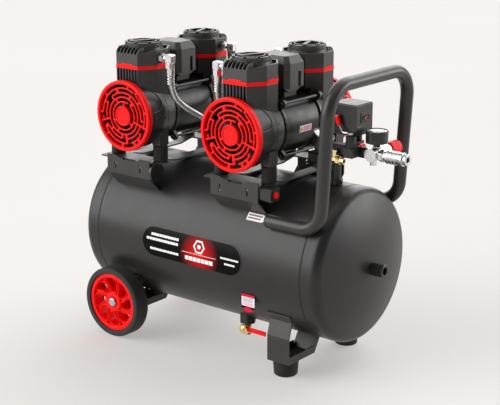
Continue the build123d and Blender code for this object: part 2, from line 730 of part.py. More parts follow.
def make_elbow(x, side):
    """Discharge elbow beside a head: union nut, elbow block, hexagon and hose ferrule."""
    wall = x - side * (ELBOW_OFFSET - 52.0 - CONTACT)
    block = span_box(x - 8.5, x + 8.5, -ELBOW_Y - 8.5, -ELBOW_Y + 8.5, ELBOW_Z - 8.5, ELBOW_Z + 8.5)
    elbow = chamfer(block.edges(), 2.0)
    x0, x1 = sorted((wall, x - side * 8.0))
    elbow += rod_x(6.0, x0, x1, -ELBOW_Y, ELBOW_Z)
    nut = sorted((wall + side * 2.0, wall + side * 10.0))
    elbow += hex_x(17.0, *nut, -ELBOW_Y, ELBOW_Z)
    elbow += hex_z(17.0, ELBOW_Z - 19.0, ELBOW_Z - 8.0, x, -ELBOW_Y)
    elbow += rod_z(8.6, HOSE_TOP, ELBOW_Z - 18.0, x, -ELBOW_Y)
    return elbow


def port_direction(side_x, side_y):
    """Direction in which a port of the check valve block points."""
    flat = 1 / 2
    return Vector(side_x * flat, side_y * flat, sqrt(1 - 2 * flat * flat))


def make_check_valve():
    """Check valve on the tank top with four inclined hose ports."""
    base = TANK_Z + TANK_R
    valve = rod_z(11.0, base - 10.0, base + 6.0, VALVE_X, 0)
    valve += hex_z(27.0, base + 4.0, base + 24.0, VALVE_X, 0)
    valve += rod_z(12.0, base + 22.0, VALVE_Z - 10.0, VALVE_X, 0)
    valve += Pos(VALVE_X, 0, VALVE_Z) * Sphere(17.0)
    for side_x in (-1, 1):
        for side_y in (-1, 1):
            port = Plane((VALVE_X, 0, VALVE_Z), z_dir=port_direction(side_x, side_y))
            valve += port * Pos(0, 0, PORT_REACH / 2) * Cylinder(8.6, PORT_REACH)
    valve -= rod_z(LINE_BORE_R, base - 12.0, VALVE_Z, VALVE_X, 0)
    return valve - tank_cutter()


def hose_points(x, side):
    """Hose centre line from a head's ferrule to its port on the check valve."""
    direction = port_direction(-side, -1)
    port = Vector(VALVE_X, 0, VALVE_Z) + direction * (PORT_REACH + CONTACT)
    lead = port + direction * 24.0
    return [
        Vector(x, -ELBOW_Y, HOSE_TOP - CONTACT),
        Vector(x, -ELBOW_Y, 530.0),
        Vector(x + side * 7.0, -75.0, 497.0),
        lead,
        port,
    ]


def corner_radii(points):
    """Radius of each tangent arc: 0.45 of the shorter run over the tangent of half the turn."""
    radii = []
    for before, corner, after in zip(points, points[1:], points[2:]):
        into, out = corner - before, after - corner
        turn = into.get_angle(out)
        radii.append(0.45 * min(into.length, out.length) / tan_half(turn))
    return radii


def tan_half(turn):
    half = radians(turn) / 2
    return sin(half) / cos(half)


def make_hose(name, x, side):
    points = hose_points(x, side)
    radii = corner_radii(points)
    path = FilletPolyline(*points, radius=radii)
    print(name, "length", round(path.length, 1), "radii", [round(r) for r in radii])
    section = Plane(points[0], z_dir=path % 0) * Circle(HOSE_R)
    return sweep(section, path=path)


# ---- drain ----

def make_drain_boss():
    """Hexagonal collar under the tank that the drain valve screws into."""
    boss = hex_z(30.0, DRAIN_BOSS_LOW, 95.0, DRAIN_X, -DRAIN_Y) - tank_cutter()
    return boss - rod_z(DRAIN_BORE_R, DRAIN_BOSS_LOW, 95.0, DRAIN_X, -DRAIN_Y)


def make_drain_valve():
    """Small brass ball valve with a big nut on the stem, in front of the lever."""
    top = DRAIN_BOSS_LOW - CONTACT
    valve = hex_z(15.0, 66.0, top, DRAIN_X, -DRAIN_Y)
    valve += rod_z(7.5, 51.0, 67.0, DRAIN_X, -DRAIN_Y)
    valve += hex_z(13.0, DRAIN_LOW, 53.0, DRAIN_X, -DRAIN_Y)
    valve += rod_y(5.5, -DRAIN_LEVER_Y + 2.0, -DRAIN_Y, DRAIN_X, DRAIN_LEVER_Z)
    valve += rod_y(STEM_R, -DRAIN_NUT_Y - 4.0, -DRAIN_LEVER_Y + 2.5, DRAIN_X, DRAIN_LEVER_Z)
    valve -= rod_z(DRAIN_OUTLET_R, DRAIN_LOW, top, DRAIN_X, -DRAIN_Y)
    nut = hex_y(19.0, -DRAIN_NUT_Y - 4.0, -DRAIN_NUT_Y, DRAIN_X, DRAIN_LEVER_Z)
    nut -= rod_y(STEM_R + CONTACT, -DRAIN_NUT_Y - 5.0, -DRAIN_NUT_Y + 1.0, DRAIN_X, DRAIN_LEVER_Z)
    return group(valve, nut)


def make_drain_lever():
    """Quarter-turn lever: a flat bar turning on the valve stem behind its nut."""
    y0, y1 = -DRAIN_LEVER_Y - 1.5, -DRAIN_LEVER_Y + 1.5
    half = DRAIN_LEVER_WIDTH / 2
    lever = rod_y(7.0, y0, y1, DRAIN_X, DRAIN_LEVER_Z)
    lever += span_box(DRAIN_X, DRAIN_LEVER_END, y0, y1, DRAIN_LEVER_Z - half, DRAIN_LEVER_Z + half)
    return lever - rod_y(STEM_R + RUN_CLEARANCE, y0 - 1, y1 + 1, DRAIN_X, DRAIN_LEVER_Z)


# ---- controls ----

def make_manifold():
    """Riser from the tank, cast manifold bar, gauge arm and the pipe towards the regulator."""
    base = TANK_Z + TANK_R
    bar_low, bar_high = LINE_Z - 14.0, LINE_Z + 10.0
    body = rod_z(RISER_R, base - 6.0, LINE_Z, RISER_X, 0)
    body += hex_z(24.0, base + 2.0, base + 10.0, RISER_X, 0)
    bar = span_box(RISER_X - RISER_R, 276.0, -11.0, 12.0, bar_low, bar_high)
    body += chamfer(bar.edges().filter_by(Axis.X), 4.0)
    arm = span_box(176.0, RISER_X, -10.0, 10.0, ARM_TOP - 22.0, ARM_TOP)
    body += chamfer(arm.edges().filter_by(Axis.X), 3.0)
    body += rod_x(10.5, 276.0, 306.0, 0, LINE_Z)
    body += rod_x(12.5, 279.0, 283.0, 0, LINE_Z)
    body += rod_z(9.5, bar_high - 2.0, SWITCH_Z[0] - CONTACT, 265.0, SWITCH_NECK_Y)
    body += span_box(277.0, 297.0, -LEVER_Y - 9.0, -8.0, LINE_Z - 6.0, LINE_Z + 12.0)
    body += rod_z(8.5, LINE_Z + 11.0, LEVER_Z - 5.0, LEVER_X, -LEVER_Y)
    body += rod_z(STEM_R, LEVER_Z - 6.0, LEVER_Z + 3.0, LEVER_X, -LEVER_Y)
    rear_x = REAR_LEVER_X
    body += span_box(rear_x - 9, rear_x + 9, 10.0, REAR_LEVER_Y + 9.0, LINE_Z - 6.0, LINE_Z + 9.0)
    body += rod_z(8.5, LINE_Z + 8.0, REAR_LEVER_Z - 5.0, rear_x, REAR_LEVER_Y)
    body += rod_z(STEM_R, REAR_LEVER_Z - 6.0, REAR_LEVER_Z + 3.0, rear_x, REAR_LEVER_Y)
    body -= rod_z(LINE_BORE_R, base - 8.0, LINE_Z, RISER_X, 0)
    body -= rod_x(LINE_BORE_R, RISER_X, 306.0, 0, LINE_Z)
    return body - tank_cutter()


def make_switch_base():
    x0, x1 = SWITCH_X
    y0, y1 = SWITCH_Y
    low = SWITCH_Z[0]
    return span_box(x0 + 2, x1 - 2, y0 + 2, y1 - 2, low, low + 7.0)


def make_switch_cover():
    """Pressure switch cover: hollow box with slightly drawn-in walls."""
    x0, x1 = SWITCH_X
    y0, y1 = SWITCH_Y
    low, high = SWITCH_Z[0] + 7.0, SWITCH_Z[1]
    box = span_box(x0, x1, y0, y1, low, high)
    box = chamfer(box.edges().group_by(Axis.Z)[-1], 2.0)
    return box - span_box(x0 + 3, x1 - 3, y0 + 3, y1 - 3, low, high - 3.0)


def make_valve_lever(x, y, z):
    """Ball valve lever: flat boss on the stem, cranked rod and a dipped grip."""
    run = Vector(-17.0, 0, -0.5)
    rise = Vector(-9.0, 0, 15.0)
    tip = Vector(-5.5, 0, 17.0)
    elbow = Vector(x, y, z) + run
    grip_start = elbow + rise
    points = [Vector(x - 4.0, y, z), elbow, grip_start, grip_start + tip]
    path = FilletPolyline(*points, radius=[6.0, 20.0])
    lever = rod_z(6.0, z - 1.5, z + 1.5, x, y)
    lever += sweep(Plane(points[0], z_dir=path % 0) * Circle(1.9), path=path)
    lever += Plane(grip_start, z_dir=tip) * Pos(0, 0, tip.length / 2) * Cylinder(4.2, tip.length)
    return lever - rod_z(STEM_R + RUN_CLEARANCE, z - 4, z + 4, x, y)


def make_gauge_case(x, y, top, stem_low):
    """Round gauge case with its dial facing up, and the stem below it."""
    case = rod_z(GAUGE_R, top - 24.0, top, x, y) - rod_z(GAUGE_R - 1.8, top - 2.5, top, x, y)
    return case + hex_z(13.0, stem_low, top - 23.0, x, y)


def make_regulator_body():
    """Chrome regulator across the line: filter cap, gauge seat, knob seat and outlet."""
    body = rod_y(REGULATOR_R, -13.0, KNOB_Y[0] - 6.0, REGULATOR_X, LINE_Z)
    body += rod_y(9.0, KNOB_Y[0] - 7.0, KNOB_Y[0] + 10.0, REGULATOR_X, LINE_Z)
    body += rod_x(9.5, 306.0, REGULATOR_X, 0, LINE_Z)
    body += rod_x(8.0, REGULATOR_X, COUPLER_START - 14.0, 0, LINE_Z)
    body += rod_z(8.0, LINE_Z, GAUGE_TOP - 31.0, REGULATOR_X, GAUGE_Y)
    body += rod_z(6.5, LINE_Z - 21.0, LINE_Z, REGULATOR_X, 0)
    return body - rod_x(LINE_BORE_R, 306.0, COUPLER_START - 14.0, 0, LINE_Z)


def make_regulator_knob():
    """Fluted cap turning on the regulator's neck."""
    y0, y1 = KNOB_Y
    knob = rod_y(14.0, y0, y1, REGULATOR_X, LINE_Z)
    for index in range(16):
        turn = Pos(REGULATOR_X, 0, LINE_Z) * Rot(0, 22.5 * index, 0)
        knob -= turn * rod_y(1.3, y0 + 3.0, y1, 14.4, 0)
    return knob - rod_y(9.0 + RUN_CLEARANCE, y0, y0 + 12.0, REGULATOR_X, LINE_Z)


def make_coupler_body():
    """Quick coupler: union nut, socket with bore and front collar."""
    start = COUPLER_START - 14.0
    body = hex_x(21.0, start, start + 9.0, 0, LINE_Z)
    body += rod_x(9.5, start + 9.0, COUPLER_END - 3.0, 0, LINE_Z)
    body += rod_x(10.8, COUPLER_END - 6.0, COUPLER_END, 0, LINE_Z)
    return body - rod_x(COUPLER_BORE_R, start, COUPLER_END, 0, LINE_Z)


def make_coupler_sleeve():
    """Release sleeve sliding back on the coupler."""
    x0, x1 = COUPLER_START + 2.0, COUPLER_END - 8.0
    sleeve = rod_x(13.0, x0, x1, 0, LINE_Z)
    for index in range(3):
        ring_x = x0 + 6.0 + 8.0 * index
        ring = rod_x(14.0, ring_x, ring_x + 3.0, 0, LINE_Z) - rod_x(12.2, ring_x, ring_x + 3.0, 0, LINE_Z)
        sleeve -= ring
    return sleeve - rod_x(9.5 + RUN_CLEARANCE, x0, x1, 0, LINE_Z)


def make_brass_tap():
    """Small brass outlet along the manifold's front with a screw stem."""
    tap = rod_x(6.0, 240.0, TAP_END, -TAP_Y, TAP_Z)
    tap += hex_x(13.5, 252.0, 260.0, -TAP_Y, TAP_Z)
    tap += rod_y(5.0, -TAP_Y, -11.0 - CONTACT, 246.0, TAP_Z + 9.0)
    tap += rod_z(4.5, TAP_Z, TAP_Z + 16.0, 246.0, -TAP_Y)
    tap += hex_z(9.0, TAP_Z + 16.0, TAP_Z + 20.0, 246.0, -TAP_Y)
    tap -= rod_x(TAP_BORE_R, 250.0, TAP_END, -TAP_Y, TAP_Z)
    return tap


def make_safety_valve():
    """Safety valve on the back of the manifold bar."""
    body = hex_y(13.0, 12.0 + CONTACT, 20.0, 270.0, LINE_Z)
    body += rod_y(5.0, 20.0, 27.0, 270.0, LINE_Z)
    body += rod_y(1.8, 26.0, 36.0, 270.0, LINE_Z)
    return body


def make_safety_cap():
    """Pull cap of the safety valve, guided on its spindle."""
    cap = rod_y(7.0, 28.0, 42.0, 270.0, LINE_Z)
    return cap - rod_y(1.8 + RUN_CLEARANCE, 27.0, 37.0, 270.0, LINE_Z)


def make_reset_box():
    """Overload reset switch beside the right saddle plate."""
    box = span_box(RESET_X, RESET_X + 27.0, -SADDLE_Y + 1.6, -113.0, 356.0, 381.0)
    box = chamfer(box.edges().filter_by(Axis.X), 3.0)
    box += rod_x(9.0, RESET_X + 27.0, RESET_X + 29.0, -129.0, 369.0)
    return box - rod_x(6.5, RESET_X + 18.0, RESET_X + 29.0, -129.0, 369.0)


def make_reset_button():
    button = rod_x(6.2, RESET_X + 22.0, RESET_X + 33.0, -129.0, 369.0)
    return chamfer(button.edges().filter_by(GeomType.CIRCLE).sort_by(Axis.X)[-1], 1.5)


def make_start_capacitor():
    """Round capacitor can lying inside the left saddle, with a broad cap outside its open end."""
    end_x = UNIT_X["left"] + MOUNT_X
    can = rod_x(16.0, end_x - 42.0, end_x + 1.0, -124.5, 361.5)
    cap = rod_x(20.5, end_x + 0.6, end_x + 6.0, -127.0, 364.0)
    return can + chamfer(cap.edges().group_by(Axis.X)[-1], 1.0) - span_box(
        end_x - 50.0, end_x + 10.0, -150.0, -100.0, SADDLE_TOP - SHEET - 0.4, SADDLE_TOP + 5.0
    )


# ---- assembly ----

def build_nodes():
    nodes = {}
    nodes["tank_barrel"] = make_tank_barrel()
    left_end = mirror(make_tank_end(port=False), Plane.YZ)
    nodes["tank_ends"] = group(left_end, make_tank_end(port=True))
    nodes["tank_fittings"] = group(make_end_plug(), make_drain_boss())
    nodes["handle"] = make_handle()

    rim, tyre = make_wheel_rim(), make_tyre()
    nodes["wheel_rim_front"], nodes["wheel_rim_rear"] = rim, rear(rim)
    nodes["tyre_front"], nodes["tyre_rear"] = tyre, rear(tyre)
    nodes["axle_bolts"] = pair(make_axle_bolt())
    wheel_leg = make_leg_bracket(WHEEL_LEG_X, WHEEL_LEG_Z, axle=True)
    foot_leg = make_leg_bracket(FOOT_X, FOOT_H, axle=False)
    nodes["leg_brackets"] = group(pair(wheel_leg), pair(foot_leg))
    nodes["rubber_feet"] = pair(make_foot())

    crankcase, grille, head = make_crankcase(), make_grille(), make_head_cover()
    piston, fan = make_piston(), make_fan()
    tie_bolts, mounts, bands, silencers, covers = [], [], [], [], []
    for unit, x in UNIT_X.items():
        place = Pos(x, 0, 0)
        for end, flip in (("front", lambda part: part), ("rear", rear)):
            nodes[f"crankcase_{unit}_{end}"] = place * flip(crankcase)
            nodes[f"fan_grille_{unit}_{end}"] = place * flip(grille)
            nodes[f"head_cover_{unit}_{end}"] = place * flip(head)
            nodes[f"piston_{unit}_{end}"] = place * flip(piston)
            bands.append(place * flip(make_seal_band()))
            silencers.append(place * flip(make_silencer()))
        nodes[f"motor_stator_{unit}"] = place * make_stator()
        nodes[f"rotor_and_fans_{unit}"] = place * group(make_rotor(), pair(fan))
        nodes[f"saddle_{unit}"] = place * make_saddle(INNER_SIDE[unit])
        covers.append(place * make_terminal_cover())
        for sx in (-1, 1):
            for sign in (-1, 1):
                mounts.append(Pos(x + sx * MOUNT_X, sign * MOUNT_Y, 0) * make_rubber_mount())
                tie_bolts.append(place * make_tie_bolt(sx * TIE_OFFSET, MOTOR_Z + sign * TIE_OFFSET))
    nodes["seal_bands"] = group(*bands)
    nodes["intake_silencers"] = group(*silencers)
    nodes["terminal_covers"] = group(*covers)
    nodes["rubber_mounts"] = group(*mounts)
    nodes["tie_bolts"] = group(*tie_bolts)

    elbows = []
    for unit, side in INNER_SIDE.items():
        x = UNIT_X[unit] + side * ELBOW_OFFSET
        hose = make_hose(f"hose_{unit}", x, side)
        nodes[f"hose_{unit}_front"], nodes[f"hose_{unit}_rear"] = hose, rear(hose)
        elbows.append(pair(make_elbow(x, side)))
    nodes["hose_elbows"] = group(*elbows)
    nodes["check_valve"] = make_check_valve()

    nodes["drain_valve"] = make_drain_valve()
    nodes["drain_lever"] = make_drain_lever()

    nodes["manifold"] = make_manifold()
    nodes["pressure_switch"] = group(make_switch_base(), make_switch_cover())
    nodes["valve_lever_front"] = make_valve_lever(LEVER_X, -LEVER_Y, LEVER_Z)
    nodes["valve_lever_rear"] = make_valve_lever(REAR_LEVER_X, REAR_LEVER_Y, REAR_LEVER_Z)
    line_gauge = make_gauge_case(REGULATOR_X, GAUGE_Y, GAUGE_TOP, GAUGE_TOP - 31.0)
    side_gauge = Pos(*SIDE_GAUGE) * Rot(0, SIDE_GAUGE_TILT, 0) * make_gauge_case(0, 0, 0, -50.0)
    side_gauge -= span_box(170.0, 230.0, -20.0, 20.0, 400.0, ARM_TOP + CONTACT)
    nodes["pressure_gauges"] = group(line_gauge, side_gauge)
    nodes["regulator_body"] = make_regulator_body()
    nodes["regulator_knob"] = make_regulator_knob()
    nodes["coupler_body"] = make_coupler_body()
    nodes["coupler_sleeve"] = make_coupler_sleeve()
    nodes["brass_fittings"] = group(make_brass_tap(), make_safety_valve())
    nodes["safety_cap"] = make_safety_cap()
    nodes["reset_box"] = make_reset_box()
    nodes["reset_button"] = make_reset_button()
    nodes["start_capacitor"] = make_start_capacitor()
    return nodes


NODES = build_nodes()
WHOLE = Compound(children=[solid for part in NODES.values() for solid in part.solids()]).bounding_box()
CENTRE_SHIFT = (-(WHOLE.min.X + WHOLE.max.X) / 2, -(WHOLE.min.Y + WHOLE.max.Y) / 2, 0.0)

os.makedirs("parts", exist_ok=True)
for node_name, node_part in NODES.items():
    export_step(Pos(*CENTRE_SHIFT) * node_part, f"parts/{node_name}.step")
print(len(NODES), "nodes, box", WHOLE.min, WHOLE.max, "shift", CENTRE_SHIFT)
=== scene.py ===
import json
from math import cos, pi, radians, sin, sqrt, tau

import bmesh
import bpy
from mathutils import Matrix, Vector


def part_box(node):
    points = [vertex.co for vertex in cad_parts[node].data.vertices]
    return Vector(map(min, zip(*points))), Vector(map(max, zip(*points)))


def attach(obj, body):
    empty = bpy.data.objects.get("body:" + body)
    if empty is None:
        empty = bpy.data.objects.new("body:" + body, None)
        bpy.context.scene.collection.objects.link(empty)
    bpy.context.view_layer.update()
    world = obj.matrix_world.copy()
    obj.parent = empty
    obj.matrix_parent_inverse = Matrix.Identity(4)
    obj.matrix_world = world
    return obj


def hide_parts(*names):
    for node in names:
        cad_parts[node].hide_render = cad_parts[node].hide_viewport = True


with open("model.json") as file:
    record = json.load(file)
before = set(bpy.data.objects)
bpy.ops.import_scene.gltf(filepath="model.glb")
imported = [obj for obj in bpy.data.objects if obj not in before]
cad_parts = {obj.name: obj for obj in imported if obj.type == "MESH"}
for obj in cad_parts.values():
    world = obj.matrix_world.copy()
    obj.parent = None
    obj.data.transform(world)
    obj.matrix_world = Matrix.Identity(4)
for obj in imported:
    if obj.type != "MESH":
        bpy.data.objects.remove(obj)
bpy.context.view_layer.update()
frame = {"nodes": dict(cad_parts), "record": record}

# Oil-free air compressor: two double-headed pump units on a horizontal receiver.
# Pieces are drawn in millimetres from the tank's middle, as the CAD has them, and are turned
# into metres in the row frame when they are made. The front faces -Y and the handle is at +X.

MM = 0.001
nodes = frame["nodes"]
barrel_low, barrel_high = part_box("tank_barrel")
MIDDLE_X = (barrel_low[0] + barrel_high[0]) / 2
TANK_R = (barrel_high[2] - barrel_low[2]) / 2 / MM
TANK_Z = (barrel_high[2] + barrel_low[2]) / 2 / MM
# The x of each pump unit's middle, and the way along X from it to the other unit.
UNITS = {"left": -181.8, "right": 98.1}
INNER = {"left": 1, "right": -1}
# What is drawn for the front keeps its y; the rear mirrors it.
ENDS = {"front": 1, "rear": -1}
MOTOR_Z = 477.7


def place(x, y, z):
    """A point given in millimetres from the tank's middle, in metres in the row frame."""
    return Vector((MIDDLE_X + x * MM, y * MM, z * MM))


# ---- camera ----

CAMERA_PLACE = (1651.6, -2046.2, 1040.8)
CAMERA_AIM = (14.0, 11.1, 293.3)
CAMERA_LENS = 95.08
CAMERA_SENSOR = 36.0


def make_camera():
    camera = bpy.data.objects.new("camera", bpy.data.cameras.new("camera"))
    camera.location = place(*CAMERA_PLACE)
    aim = place(*CAMERA_AIM) - camera.location
    camera.rotation_euler = aim.to_track_quat("-Z", "Y").to_euler()
    camera.data.lens = CAMERA_LENS
    camera.data.sensor_width = CAMERA_SENSOR
    bpy.context.scene.collection.objects.link(camera)
    bpy.context.scene.camera = camera


make_camera()


# ---- materials ----

SPECULAR = "Specular IOR Level"
METAL = {"Metallic": 1.0}
PATCH_DETAIL = 3.0


def tone(code):
    """Linear colour of an sRGB code such as "f02a2a"."""
    parts = [int(code[i:i + 2], 16) / 255 for i in (0, 2, 4)]
    return [p / 12.92 if p <= 0.04045 else ((p + 0.055) / 1.055) ** 2.4 for p in parts] + [1.0]


class Finish:
    """A Principled material built up from procedural layers in object space."""

    def __init__(self, name, inputs):
        self.material = bpy.data.materials.new(name)
        self.material.use_nodes = True
        self.tree = self.material.node_tree
        self.shader = self.tree.nodes["Principled BSDF"]
        for socket, value in inputs.items():
            self.shader.inputs[socket].default_value = value
        self.where = self.tree.nodes.new("ShaderNodeTexCoord").outputs["Object"]

    def link(self, source, target):
        self.tree.links.new(source, target)

    def noise(self, scale, detail):
        node = self.tree.nodes.new("ShaderNodeTexNoise")
        node.inputs["Scale"].default_value = scale
        node.inputs["Detail"].default_value = detail
        self.link(self.where, node.inputs["Vector"])
        return node.outputs["Fac"]

    def cells(self, scale):
        node = self.tree.nodes.new("ShaderNodeTexVoronoi")
        node.inputs["Scale"].default_value = scale
        self.link(self.where, node.inputs["Vector"])
        return node.outputs["Distance"]

    def spread(self, source, low, high, start=0.3, end=0.7):
        """The source's values from start to end, stretched over low to high."""
        node = self.tree.nodes.new("ShaderNodeMapRange")
        node.inputs["From Min"].default_value = start
        node.inputs["From Max"].default_value = end
        node.inputs["To Min"].default_value = low
        node.inputs["To Max"].default_value = high
        self.link(source, node.inputs["Value"])
        return node.outputs["Result"]

    def mix(self, factor, first, second):
        """Colour between two tones by factor."""
        node = self.tree.nodes.new("ShaderNodeMix")
        node.data_type = "RGBA"
        self.link(factor, node.inputs["Factor"])
        node.inputs["A"].default_value = tone(first)
        node.inputs["B"].default_value = tone(second)
        return node.outputs["Result"]

    def colour(self, first, second, scale):
        """Base colour drifting between two close tones."""
        factor = self.spread(self.noise(scale, PATCH_DETAIL), 0.0, 1.0)
        self.link(self.mix(factor, first, second), self.shader.inputs["Base Color"])

    def rough(self, low, high, scale):
        """Roughness drifting between two values."""
        source = self.spread(self.noise(scale, PATCH_DETAIL), low, high)
        self.link(source, self.shader.inputs["Roughness"])

    def bump(self, source, depth, strength):
        """Relief that is depth millimetres deep."""
        node = self.tree.nodes.new("ShaderNodeBump")
        node.inputs["Distance"].default_value = depth * MM
        node.inputs["Strength"].default_value = strength
        self.link(source, node.inputs["Height"])
        self.link(node.outputs["Normal"], self.shader.inputs["Normal"])


# Each finish has two tones and their patches per metre; its least and greatest roughness and
# their patches per metre; its relief's grains per metre, their detail (0 for round cells), depth
# in millimetres and strength; and the other inputs of its shader.
FINISHES = {
    "tank_coat": ("232222", "282727", 9.0, 0.33, 0.38, 22.0, 620.0, 2.0, 0.04, 0.4, {SPECULAR: 0.36}),
    "bracket_coat": ("2e2d2d", "353433", 20.0, 0.36, 0.44, 60.0, 800.0, 2.0, 0.06, 0.6, {SPECULAR: 0.4}),
    "handle_coat": ("2a2929", "302f2e", 14.0, 0.28, 0.36, 40.0, 900.0, 2.0, 0.04, 0.5, {SPECULAR: 0.42}),
    "housing_plastic": ("1f1f1f", "252524", 30.0, 0.31, 0.39, 80.0, 1600.0, 0.0, 0.05, 0.5, {}),
    "head_plastic": ("313130", "373736", 30.0, 0.36, 0.46, 80.0, 1600.0, 0.0, 0.05, 0.5, {}),
    "signal_red": ("f40808", "fa0d0c", 25.0, 0.34, 0.44, 60.0, 1200.0, 2.0, 0.03, 0.5, {SPECULAR: 0.2}),
    "rubber_black": ("232323", "2a2a29", 45.0, 0.55, 0.70, 90.0, 1400.0, 3.0, 0.08, 0.6, {SPECULAR: 0.22}),
    "tyre_rubber": ("313131", "393938", 45.0, 0.55, 0.70, 90.0, 1400.0, 3.0, 0.08, 0.6, {SPECULAR: 0.22}),
    "chrome": ("cfcfd0", "dcdcdd", 60.0, 0.22, 0.32, 140.0, 300.0, 2.0, 0.03, 0.2, METAL),
    "brass": ("f4d086", "fdeabb", 90.0, 0.12, 0.24, 200.0, 700.0, 3.0, 0.04, 0.4, METAL),
    "zinc_steel": ("bcbec0", "d0d1d2", 120.0, 0.18, 0.28, 200.0, 900.0, 3.0, 0.04, 0.5, METAL),
    "steel_braid": ("b4b4b4", "d8d8d8", 500.0, 0.30, 0.42, 600.0, 2500.0, 2.0, 0.04, 0.6, METAL),
    "motor_paint": ("111111", "171716", 25.0, 0.26, 0.34, 50.0, 500.0, 2.0, 0.03, 0.3, {SPECULAR: 0.3}),
    "aluminium_cast": ("8f9092", "a2a3a5", 150.0, 0.35, 0.50, 300.0, 900.0, 4.0, 0.15, 0.6, METAL),
    "gauge_black": ("1c1c1c", "232323", 60.0, 0.28, 0.38, 120.0, 1100.0, 2.0, 0.04, 0.5, {}),
    "fitting_black": ("161616", "1e1e1e", 60.0, 0.30, 0.40, 120.0, 1100.0, 2.0, 0.04, 0.5, {}),
}
# Inks on printed film: two tones and the least roughness.
INKS = {
    "print_white": ("eeeeee", "f7f7f6", 0.35),
    "print_grey": ("6c6c6b", "7a7a79", 0.35),
    "print_red": ("d3103a", "dd1a44", 0.35),
    "print_pink": ("f08aa6", "f59ab2", 0.35),
    "print_orange": ("f09a10", "f6a820", 0.35),
    "print_green": ("12a03a", "18b044", 0.35),
    "print_black": ("060606", "0b0b0b", 0.25),
}


def make_plain(name, first, second, drift, low, high, patches, grains, detail, depth, strength, inputs):
    """A finish of the table."""
    finish = Finish(name, inputs)
    finish.colour(first, second, drift)
    finish.rough(low, high, patches)
    grain = finish.noise(grains, detail) if detail else finish.cells(grains)
    finish.bump(grain, depth, strength)
    return finish.material


def make_ink(name, first, second, low):
    """Printed film: an even ink with a faint mottle."""
    return make_plain(name, first, second, drift=180.0, low=low, high=low + 0.1, patches=150.0,
                      grains=1500.0, detail=2.0, depth=0.02, strength=0.3, inputs={SPECULAR: 0.12})


GLOW_MIDDLE = place(16.0, -154.0, 221.0)
GLOW_REACH = (50.0 * MM, 1.0, 46.0 * MM)


def make_glow_print():
    """Black film with a red glow round one point."""
    finish = Finish("name_plate_print", {SPECULAR: 0.08})
    vector = finish.where
    for operation, value in (("SUBTRACT", GLOW_MIDDLE), ("DIVIDE", GLOW_REACH)):
        node = finish.tree.nodes.new("ShaderNodeVectorMath")
        node.operation = operation
        finish.link(vector, node.inputs[0])
        node.inputs[1].default_value = value
        vector = node.outputs["Vector"]
    length = finish.tree.nodes.new("ShaderNodeVectorMath")
    length.operation = "LENGTH"
    finish.link(vector, length.inputs[0])
    glow = finish.spread(length.outputs["Value"], 1.0, 0.0, 0.1, 1.0)
    grain = finish.spread(finish.noise(900.0, 2.0), 0.85, 1.0)
    product = finish.tree.nodes.new("ShaderNodeMath")
    product.operation = "MULTIPLY"
    finish.link(glow, product.inputs[0])
    finish.link(grain, product.inputs[1])
    mixed = finish.mix(product.outputs["Value"], "040303", "e01418")
    finish.link(mixed, finish.shader.inputs["Base Color"])
    finish.rough(0.28, 0.36, 150.0)
    return finish.material


def make_glass():
    finish = Finish("clear_glass", {"Transmission Weight": 1.0, "IOR": 1.45})
    finish.colour("f6f8f8", "fbfcfc", 60.0)
    finish.rough(0.02, 0.05, 90.0)
    return finish.material


MATERIALS = {name: make_plain(name, *look) for name, look in FINISHES.items()}
MATERIALS.update({name: make_ink(name, *look) for name, look in INKS.items()})
MATERIALS["name_plate"] = make_glow_print()
MATERIALS["glass"] = make_glass()


# ---- piece building ----

# Points closer than this are one: while drawing, in millimetres, and when the piece is made, in metres.
MERGE_GAP = 0.01
WELD_GAP = 0.00001
# Edges sharper than this many degrees are rounded.
SHARP_ANGLE = 32.0


def turned(spot, degrees, axis):
    """Carries a piece drawn round the origin to spot, turned about an axis."""
    return Matrix.Translation(spot) @ Matrix.Rotation(radians(degrees), 4, axis)


def pointed(spot, way):
    """Carries a piece drawn along +Z to spot, standing along way."""
    return Matrix.Translation(spot) @ way.to_track_quat("Z", "Y").to_matrix().to_4x4()


def oblong(x0, x1, y0, y1):
    """A rectangle's outline."""
    return [(x0, y0), (x1, y0), (x1, y1), (x0, y1)]


def circle(radius, count):
    return [(radius * cos(tau * i / count), radius * sin(tau * i / count)) for i in range(count)]


